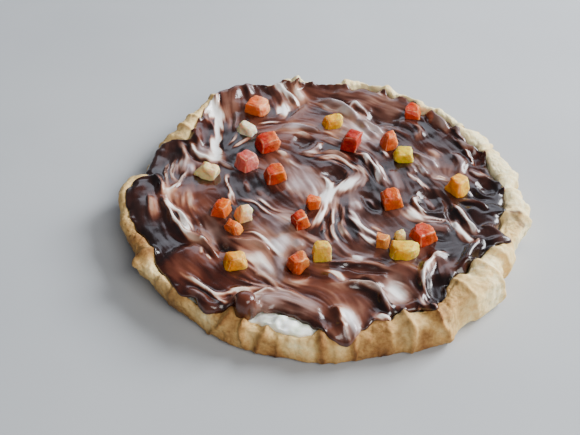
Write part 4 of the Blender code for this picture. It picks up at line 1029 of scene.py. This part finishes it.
def dragged(field, grid, heading, reach):
    """The field drawn out along the flow, as a spatula draws out the chocolate."""
    total, weight = field.copy(), 1.0
    for way in (1, -1):
        x, y = grid
        hx, hy = heading[0] * way, heading[1] * way
        for n in range(int(reach / DRAG_STEP)):
            x, y = x + DRAG_STEP * hx, y + DRAG_STEP * hy
            nx, ny = sampled(heading[0], x, y), sampled(heading[1], x, y)
            same = np.where(nx * hx + ny * hy < 0, -1, 1)
            length = np.hypot(nx, ny) + 1e-6
            hx, hy = nx * same / length, ny * same / length
            share = 1 - n * DRAG_STEP / reach
            total = total + share * sampled(field, x, y)
            weight += share
    return total / weight


def around(field):
    """The mean of each cell's four neighbours."""
    wide = np.pad(field, 1, mode="edge")
    return (wide[:-2, 1:-1] + wide[2:, 1:-1] + wide[1:-1, :-2] + wide[1:-1, 2:]) / 4


def crisped(field, amount, rounds):
    """The field with crisp borders: its difference from a blurred one is added to it."""
    blurred = field
    for _ in range(rounds):
        blurred = around(blurred)
    return field + amount * (field - blurred)


def flow(x, y, wander):
    """The heading in which the chocolate was drawn out, from every stroke near a point."""
    # an angle is doubled before the mean is taken, as a heading and its reverse count as one
    cos2, sin2 = 0.02 * np.cos(wander).ravel(), 0.02 * np.sin(wander).ravel()
    for _, _, width, _, reach, *points in STROKES:
        spread = 2.5 + max(width, reach)
        near, away, _, hx, hy = stroke_marks(x.ravel(), y.ravel(), points, 2 * spread)
        weight = np.exp(-(away / spread) ** 2)
        cos2[near] += weight * (hx * hx - hy * hy)
        sin2[near] += weight * 2 * hx * hy
    turned = 0.5 * np.arctan2(sin2, cos2).reshape(x.shape)
    return np.cos(turned), np.sin(turned)


def patched(x, y):
    """Tone and warmth of the broad patches, blended."""
    total, tone_at, warm_at = 1e-6, 0.0, 0.0
    for px, py, radius, tone, warm in PATCHES:
        weight = np.exp(-((x - px) ** 2 + (y - py) ** 2) / radius**2)
        total = total + weight
        tone_at = tone_at + weight * tone
        warm_at = warm_at + weight * warm
    return tone_at / total, warm_at / total


def tapered(along, end):
    """1 in the middle of a stroke, easing to 0 over its ends, each a share of its length."""
    return ease(np.minimum(along, 1 - along) / end)


def lay_strokes(x, y, tone_at, warm_at, relief, streak):
    """Draws every stroke into the fields, one over the next, with ragged edges."""
    for tone, warm, width, rise, reach, *points in STROKES:
        near, away, along, _, _ = stroke_marks(x, y, points, max(2.4 * width, reach))
        taper = tapered(along, 0.25)
        ragged = 1 + 0.22 * streak[near]
        cover = bump(away, 2.0 * width * (0.35 + 0.65 * taper) * ragged) * (0.2 + 0.8 * taper)
        tone_at[near] += (tone - tone_at[near]) * cover
        warm_at[near] += (warm - warm_at[near]) * cover
        if rise > 0:                          # a ridge has a narrow crest, a groove a round bed
            soft = 0.25 * reach
            fall = (np.hypot(away, soft) - soft) / (reach - 0.1)
            relief[near] += rise * np.clip(1 - fall, 0, 1) ** 2 * taper
        elif rise < 0:
            relief[near] += rise * bump(away, reach) * taper


def sharpen_thin_strokes(x, y, tone_at):
    """Draws the thin pale strokes once more, which stay sharp where the rest is drawn out."""
    for tone, _, width, _, _, *points in STROKES:
        if width <= THIN_WIDTH and tone >= THIN_TONE:
            near, away, along, _, _ = stroke_marks(x, y, points, 2.4 * width)
            taper = tapered(along, 0.3)
            cover = 0.65 * bump(away, 1.5 * width * (0.3 + 0.7 * taper)) * taper
            tone_at[near] += np.maximum((tone - tone_at[near]) * cover, 0)


def marbling():
    """Square fields over the tart: tone, warmth and relief of the chocolate."""
    axis = np.linspace(-FIELD_HALF, FIELD_HALF, FIELD_CELLS)
    grid = np.meshgrid(axis, axis, indexing="ij")
    gx, gy = grid
    place = np.stack([gx, gy, 0 * gx], -1)
    heading = flow(gx, gy, np.radians(180 * noise(place / 45, 12)))
    grain = noise(place / 0.9, 71) + 0.9 * noise(place / 2.2, 72) + 0.7 * noise(place / 4.5, 73)
    streak = dragged(grain, grid, heading, STREAK_DRAG)
    streak = (streak - streak.mean()) / streak.std()

    # broad patches, then every stroke over them, with edges that wander
    x = (gx + 1.5 * noise(place / 10, 81) + 0.5 * noise(place / 4, 83)).ravel()
    y = (gy + 1.5 * noise(place / 10, 82) + 0.5 * noise(place / 4, 84)).ravel()
    tone, warm = patched(x, y)
    tone += 0.04 * fractal(place / 16, 31).ravel()
    relief = (0.5 * noise(place / 34, 8) + 0.35 * noise(place / 13, 15)).ravel()
    lay_strokes(x, y, tone, warm, relief, streak.ravel())
    tone, warm, relief = (field.reshape(gx.shape) for field in (tone, warm, relief))

    # drawn out along the flow, with feathered edges where the streaks part to either side
    tone = dragged(tone, grid, heading, TONE_DRAG)
    relief = dragged(relief, grid, heading, RELIEF_DRAG)
    side = 0.9 * streak
    tone = sampled(tone, gx - heading[1] * side, gy + heading[0] * side).ravel()
    sharpen_thin_strokes(x, y, tone)
    tone = crisped(tone.reshape(gx.shape), amount=0.8, rounds=30)
    # painted shade where the gloss reflects little light, painted highlights where it shines
    for px, py, radius, change in PAINTED_SHADE_AND_HIGHLIGHTS:
        tone += change * np.exp(-((gx - px) ** 2 + (gy - py) ** 2) / radius**2)
    lively = 0.018 + 0.09 * np.clip(tone, 0, 1) * np.clip(1.15 - tone, 0, 1)
    tone = np.clip(1.24 * (tone + lively * streak) - 0.035, 0, 0.95)
    relief = 1.15 * crisped(relief, amount=0.9, rounds=60) + (0.07 + 0.4 * lively) * streak
    return tone, warm, relief + 0.10 * noise(place / 5, 14)


# ---- chocolate ----
def grid_faces(cells):
    """Quads of a square grid of points, row by row."""
    index = np.arange((cells + 1) ** 2).reshape(cells + 1, -1)
    quads = np.stack([index[:-1, :-1], index[1:, :-1], index[1:, 1:], index[:-1, 1:]], -1)
    return quads.reshape(-1, 4)


def disc_grid(cells):
    """Angles and shares of the radius of a square grid wrapped onto a disc."""
    line = np.linspace(-1, 1, cells + 1)
    u, v = np.meshgrid(line, line, indexing="ij")
    share = np.maximum(np.abs(u), np.abs(v))
    safe = np.where(share == 0, 1, share)
    wide = np.abs(u) >= np.abs(v)
    flat = 45 * v / np.where(wide, np.where(u == 0, safe, u), 1)
    tall = 90 - 45 * u / np.where(wide, 1, v)
    angle = np.where(wide, flat + np.where(u > 0, 0, 180), tall + np.where(v > 0, 0, 180))
    return angle.ravel() % 360, share.ravel()


def lift_over(crust, x, y, z, clearance, outer):
    """How far the outer points are lifted to clear the crust, and less so those further in."""
    tree = BVHTree.FromPolygons([v.co / MM for v in crust.data.vertices],
                                [tuple(p.vertices) for p in crust.data.polygons])
    lift = np.zeros(len(z))
    above, down = 60.0, Vector((0, 0, -1))
    for n in np.flatnonzero(outer):
        hit = tree.ray_cast(Vector((x[n], y[n], above)), down)[0]
        if hit is not None:
            lift[n] = max(0, hit.z + clearance[n] - z[n])
    lift = lift.reshape(CHOCOLATE_CELLS + 1, -1)
    for _ in range(LIFT_ROUNDS):
        lift = np.maximum(lift, around(lift))
    return lift.ravel()


def bead(x, y, z):
    """The round bead: how far it stands above the chocolate, and 1 in its middle to 0 beyond it."""
    away = np.hypot(x - BEAD["x"], y - BEAD["y"])
    ball = np.sqrt(np.clip(1 - (away / BEAD["half"]) ** 2, 0, 1))
    swell = z[np.argmin(away)] - 1.2 + BEAD["rise"] * ball - z
    return np.where(ball > 0, np.maximum(swell, 0), 0), ball


def tucked_skirt(points, cells):
    """The outline of a square grid of points, a ring tucked under it, and the quads between."""
    index = np.arange(len(points)).reshape(cells + 1, -1)
    rim = np.concatenate([index[:-1, 0], index[-1, :-1], index[:0:-1, -1], index[0, :0:-1]])
    lower = np.arange(len(rim)) + len(points)
    quads = np.stack([rim, lower, np.roll(lower, -1), np.roll(rim, -1)], -1)
    tuck = points[rim] * (SKIRT_SHARE, SKIRT_SHARE, 1) - (0, 0, SKIRT_DEPTH)
    return rim, tuck, quads


def build_chocolate(fruit, crust):
    angle, share = disc_grid(CHOCOLATE_CELLS)
    edge = edge_radius(angle) + 0.5 * noise(polar(angle, 22, 3.0), 3)
    edge += sum(reach * bump(turn(angle, middle), half) ** 0.6 for middle, half, reach in LAPS)
    out, up, down = sum(np.outer(amounts, bump(turn(angle, middle), half) ** 0.4)
                        for middle, half, *amounts in LUMPS)
    x, y, _ = polar(angle, share * (edge + out), 0).T
    tone, warm, z = (sampled(field, x, y) for field in marbling())
    z += TOPPING_LEVEL
    z += (keyed(EDGE, angle, 2) - TOPPING_LEVEL) * share**5

    # it lies against each piece of fruit
    for fruit_x, fruit_y, fruit_low in fruit:
        away = np.hypot(x - fruit_x, y - fruit_y)
        z += (fruit_low + BED_HEIGHT - z[np.argmin(away)]) * bump(away, BED_HALF)

    # it ends in a thick rounded lip, and drapes over the crust where it reaches it
    z += (0.5 + up) * bump(share - 0.95, 0.06)
    fall = np.clip((share - LIP_SHARE) / (1 - LIP_SHARE), 0, 1)
    lip = 1 - np.sqrt(1 - fall**2)
    z -= (2.0 + 1.5 * window(angle) + down) * lip
    z += lift_over(crust, x, y, z, 0.3 + 1.3 * (1 - lip), share > DRAPE_SHARE)
    swell, ball = bead(x, y, z)
    z += swell * (1 - lip)
    tone += (BEAD["tone"] - tone) * ball
    warm += (BEAD["warm"] - warm) * ball

    points = np.stack([x, y, z], -1)
    rim, tuck, skirt = tucked_skirt(points, CHOCOLATE_CELLS)
    add_mesh("chocolate", np.vstack([points, tuck]), [grid_faces(CHOCOLATE_CELLS), skirt],
             "chocolate", chocolate_material(), "chocolate_topping",
             tone=np.append(tone, tone[rim]), warm=np.append(warm, warm[rim]))


# ---- candied fruit ----
def cube_surface():
    """Points on the six faces of a cube from -1 to 1, and their quads."""
    line = np.linspace(-1, 1, FRUIT_CELLS + 1)
    a, b = (grid.ravel() for grid in np.meshgrid(line, line, indexing="ij"))
    quads = grid_faces(FRUIT_CELLS)
    points, faces = [], []
    for axis, side in itertools.product(range(3), (-1, 1)):
        faces.append(len(points) * len(a) + (quads if side > 0 else quads[:, ::-1]))
        points.append(np.roll(np.stack([np.full(len(a), side), a, b], -1), axis, 1))
    return np.vstack(points), faces


def rounded_cube(points, radius):
    """Points of a cube from -1 to 1, moved onto one with rounded edges and corners."""
    core = np.clip(points, radius - 1, 1 - radius)
    out = points - core
    return core + radius * out / (np.linalg.norm(out, axis=1, keepdims=True) + 1e-9)


def uneven_block(cube, extents, draw):
    """The cube stretched to its extents, between corners that stand unevenly."""
    points = 0
    for signs in itertools.product((-1, 1), repeat=3):
        corner = [sign * extent * draw.uniform(0.42, 0.5) for sign, extent in zip(signs, extents)]
        share = np.prod((1 + cube * signs) / 2, axis=1)
        points = points + np.array(corner) * share[:, None]
    return points


def knife_cut(points, draw):
    """The points with their corners shaved off, and how deeply each was cut, from 0 to 1."""
    cuts = np.zeros(len(points))
    for _ in range(KNIFE_CUTS):
        facing = np.array([draw.uniform(-1, 1), draw.uniform(-1, 1), draw.uniform(-0.3, 1)])
        facing /= np.linalg.norm(facing)
        reach = points @ facing
        over = np.maximum(reach - draw.uniform(0.74, 0.90) * reach.max(), 0)
        points = points - 0.85 * over[:, None] * facing
        cuts = np.maximum(cuts, np.clip(over / 0.6, 0, 1))
    return points, cuts


def set_in_box(points, low, high, yaw, lean, lean_axis):
    """Turns the points about the vertical, leans them and fits them to the box of their solid."""
    turned = Matrix.Rotation(math.radians(yaw), 3, "Z")
    turned @= Matrix.Rotation(math.radians(lean), 3, lean_axis)
    points = points @ np.array(turned).T
    size = points.max(0) - points.min(0)
    points = (points - points.min(0) - size / 2) * np.array((high - low) / MM) / size
    return points + np.array((low + high) / 2 / MM)


def sugared(points, brink, cuts):
    """How much sugar is on the fruit's edges and along the borders of its cuts."""
    frost = np.maximum(0.5 * ease((brink - 0.91) / 0.09), 0.3 * cuts * (1 - cuts))
    return frost * np.clip(0.5 + 0.8 * noise(points / 2.0, 55), 0, 1)


def build_cube(surface, faces, seed, name, width, depth, height, yaw, lean, skew_x, skew_y,
               taper, roundness, first, second):
    """One cube of fruit in the box of its solid. Returns x, y and height of its foot."""
    low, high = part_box(f"fruit_{name}")
    middle = (low + high) / 2 / MM
    draw = random.Random(seed)
    radius = 0.14 + 0.5 * roundness
    cube = rounded_cube(surface, radius)
    points, cuts = knife_cut(uneven_block(cube, (width, depth, height), draw), draw)

    # its top is tapered and skewed, and its faces are uneven
    lift = points[:, 2:] / height + 0.5
    points[:, :2] *= 1 + (taper - 1) * lift
    points[:, :2] += np.array([skew_x, skew_y]) * (lift - 0.5) * 2
    on_edge = np.sort(np.abs(cube), axis=1)[:, 1]        # highest along the cube's edges
    rough = noise(points / 3.4 + seed * 7, 51) * 0.42 + noise(points / 1.3 + seed * 7, 52) * 0.16
    normal = cube / np.linalg.norm(cube, axis=1, keepdims=True)
    points = points + normal * (rough - 0.35 * (1 - on_edge**2))[:, None]
    points = set_in_box(points, low, high, yaw, lean, "X" if seed % 2 else "Y")

    # painted light: the shading between its two colours runs to its right and top, where the light
    # falls
    across = (points[:, 0] - middle.x) / width + 0.35 * (points[:, 2] - middle.z) / height
    frost = sugared(points, on_edge / (1 - 0.29 * radius), cuts)
    piece = add_mesh(f"candied_{name}", points, faces, f"candied_{name.split('_')[0]}",
                     fruit_material(name, first, second), f"fruit_{name}",
                     frost=frost, side=0.5 + across)
    weld(piece)
    return middle.x, middle.y, low.z / MM


def weld(piece):
    """Joins the six faces of a cube along their shared edges."""
    made = bmesh.new()
    made.from_mesh(piece.data)
    bmesh.ops.remove_doubles(made, verts=made.verts, dist=0.00001)
    bmesh.ops.recalc_face_normals(made, faces=made.faces)
    made.to_mesh(piece.data)
    made.free()
    piece.data.shade_smooth()


# ---- floor, light and camera ----
def build_floor():
    bpy.ops.mesh.primitive_plane_add(size=6, location=(0, 0, -0.0002))
    floor = bpy.context.object
    floor.name = "floor"
    look = Look("pale floor", Roughness=0.9)
    colour = look.ramp(look.clouds(6, 3), (0.3, 168, 171, 174), (0.7, 176, 179, 181))
    floor.data.materials.append(look.finished(colour))


def light_world():
    world = bpy.data.worlds.new("studio")
    bpy.context.scene.world = world
    world.use_nodes = True
    back = world.node_tree.nodes["Background"]
    back.inputs["Color"].default_value = srgb(205, 212, 224)
    back.inputs["Strength"].default_value = 0.22


def add_light(name, azimuth, elevation, distance, size, power, colour):
    light = bpy.data.lights.new(name, "AREA")
    light.shape = "RECTANGLE"
    light.size, light.size_y = size
    light.energy, light.color = power, colour
    lamp = bpy.data.objects.new(name, light)
    a, e = math.radians(azimuth), math.radians(elevation)
    lamp.location = (distance * math.sin(a) * math.cos(e), distance * math.cos(a) * math.cos(e),
                     distance * math.sin(e))
    lamp.rotation_euler = (-Vector(lamp.location)).to_track_quat("-Z", "Y").to_euler()
    bpy.context.scene.collection.objects.link(lamp)


def add_camera():
    lens = bpy.data.cameras.new("camera")
    lens.sensor_width = 36
    lens.lens = CAMERA_LENS
    camera = bpy.data.objects.new("camera", lens)
    camera.location = CAMERA_PLACE
    camera.rotation_euler = (math.radians(90 - CAMERA_ELEVATION), 0, 0)
    bpy.context.scene.collection.objects.link(camera)
    bpy.context.scene.camera = camera


build_floor()
light_world()
for light in LIGHTS:
    add_light(*light)
add_camera()
crust = build_pastry()
build_cream()
surface, faces = cube_surface()
stands = [build_cube(surface, faces, seed, *row) for seed, row in enumerate(FRUIT, 1)]
build_chocolate(stands, crust)
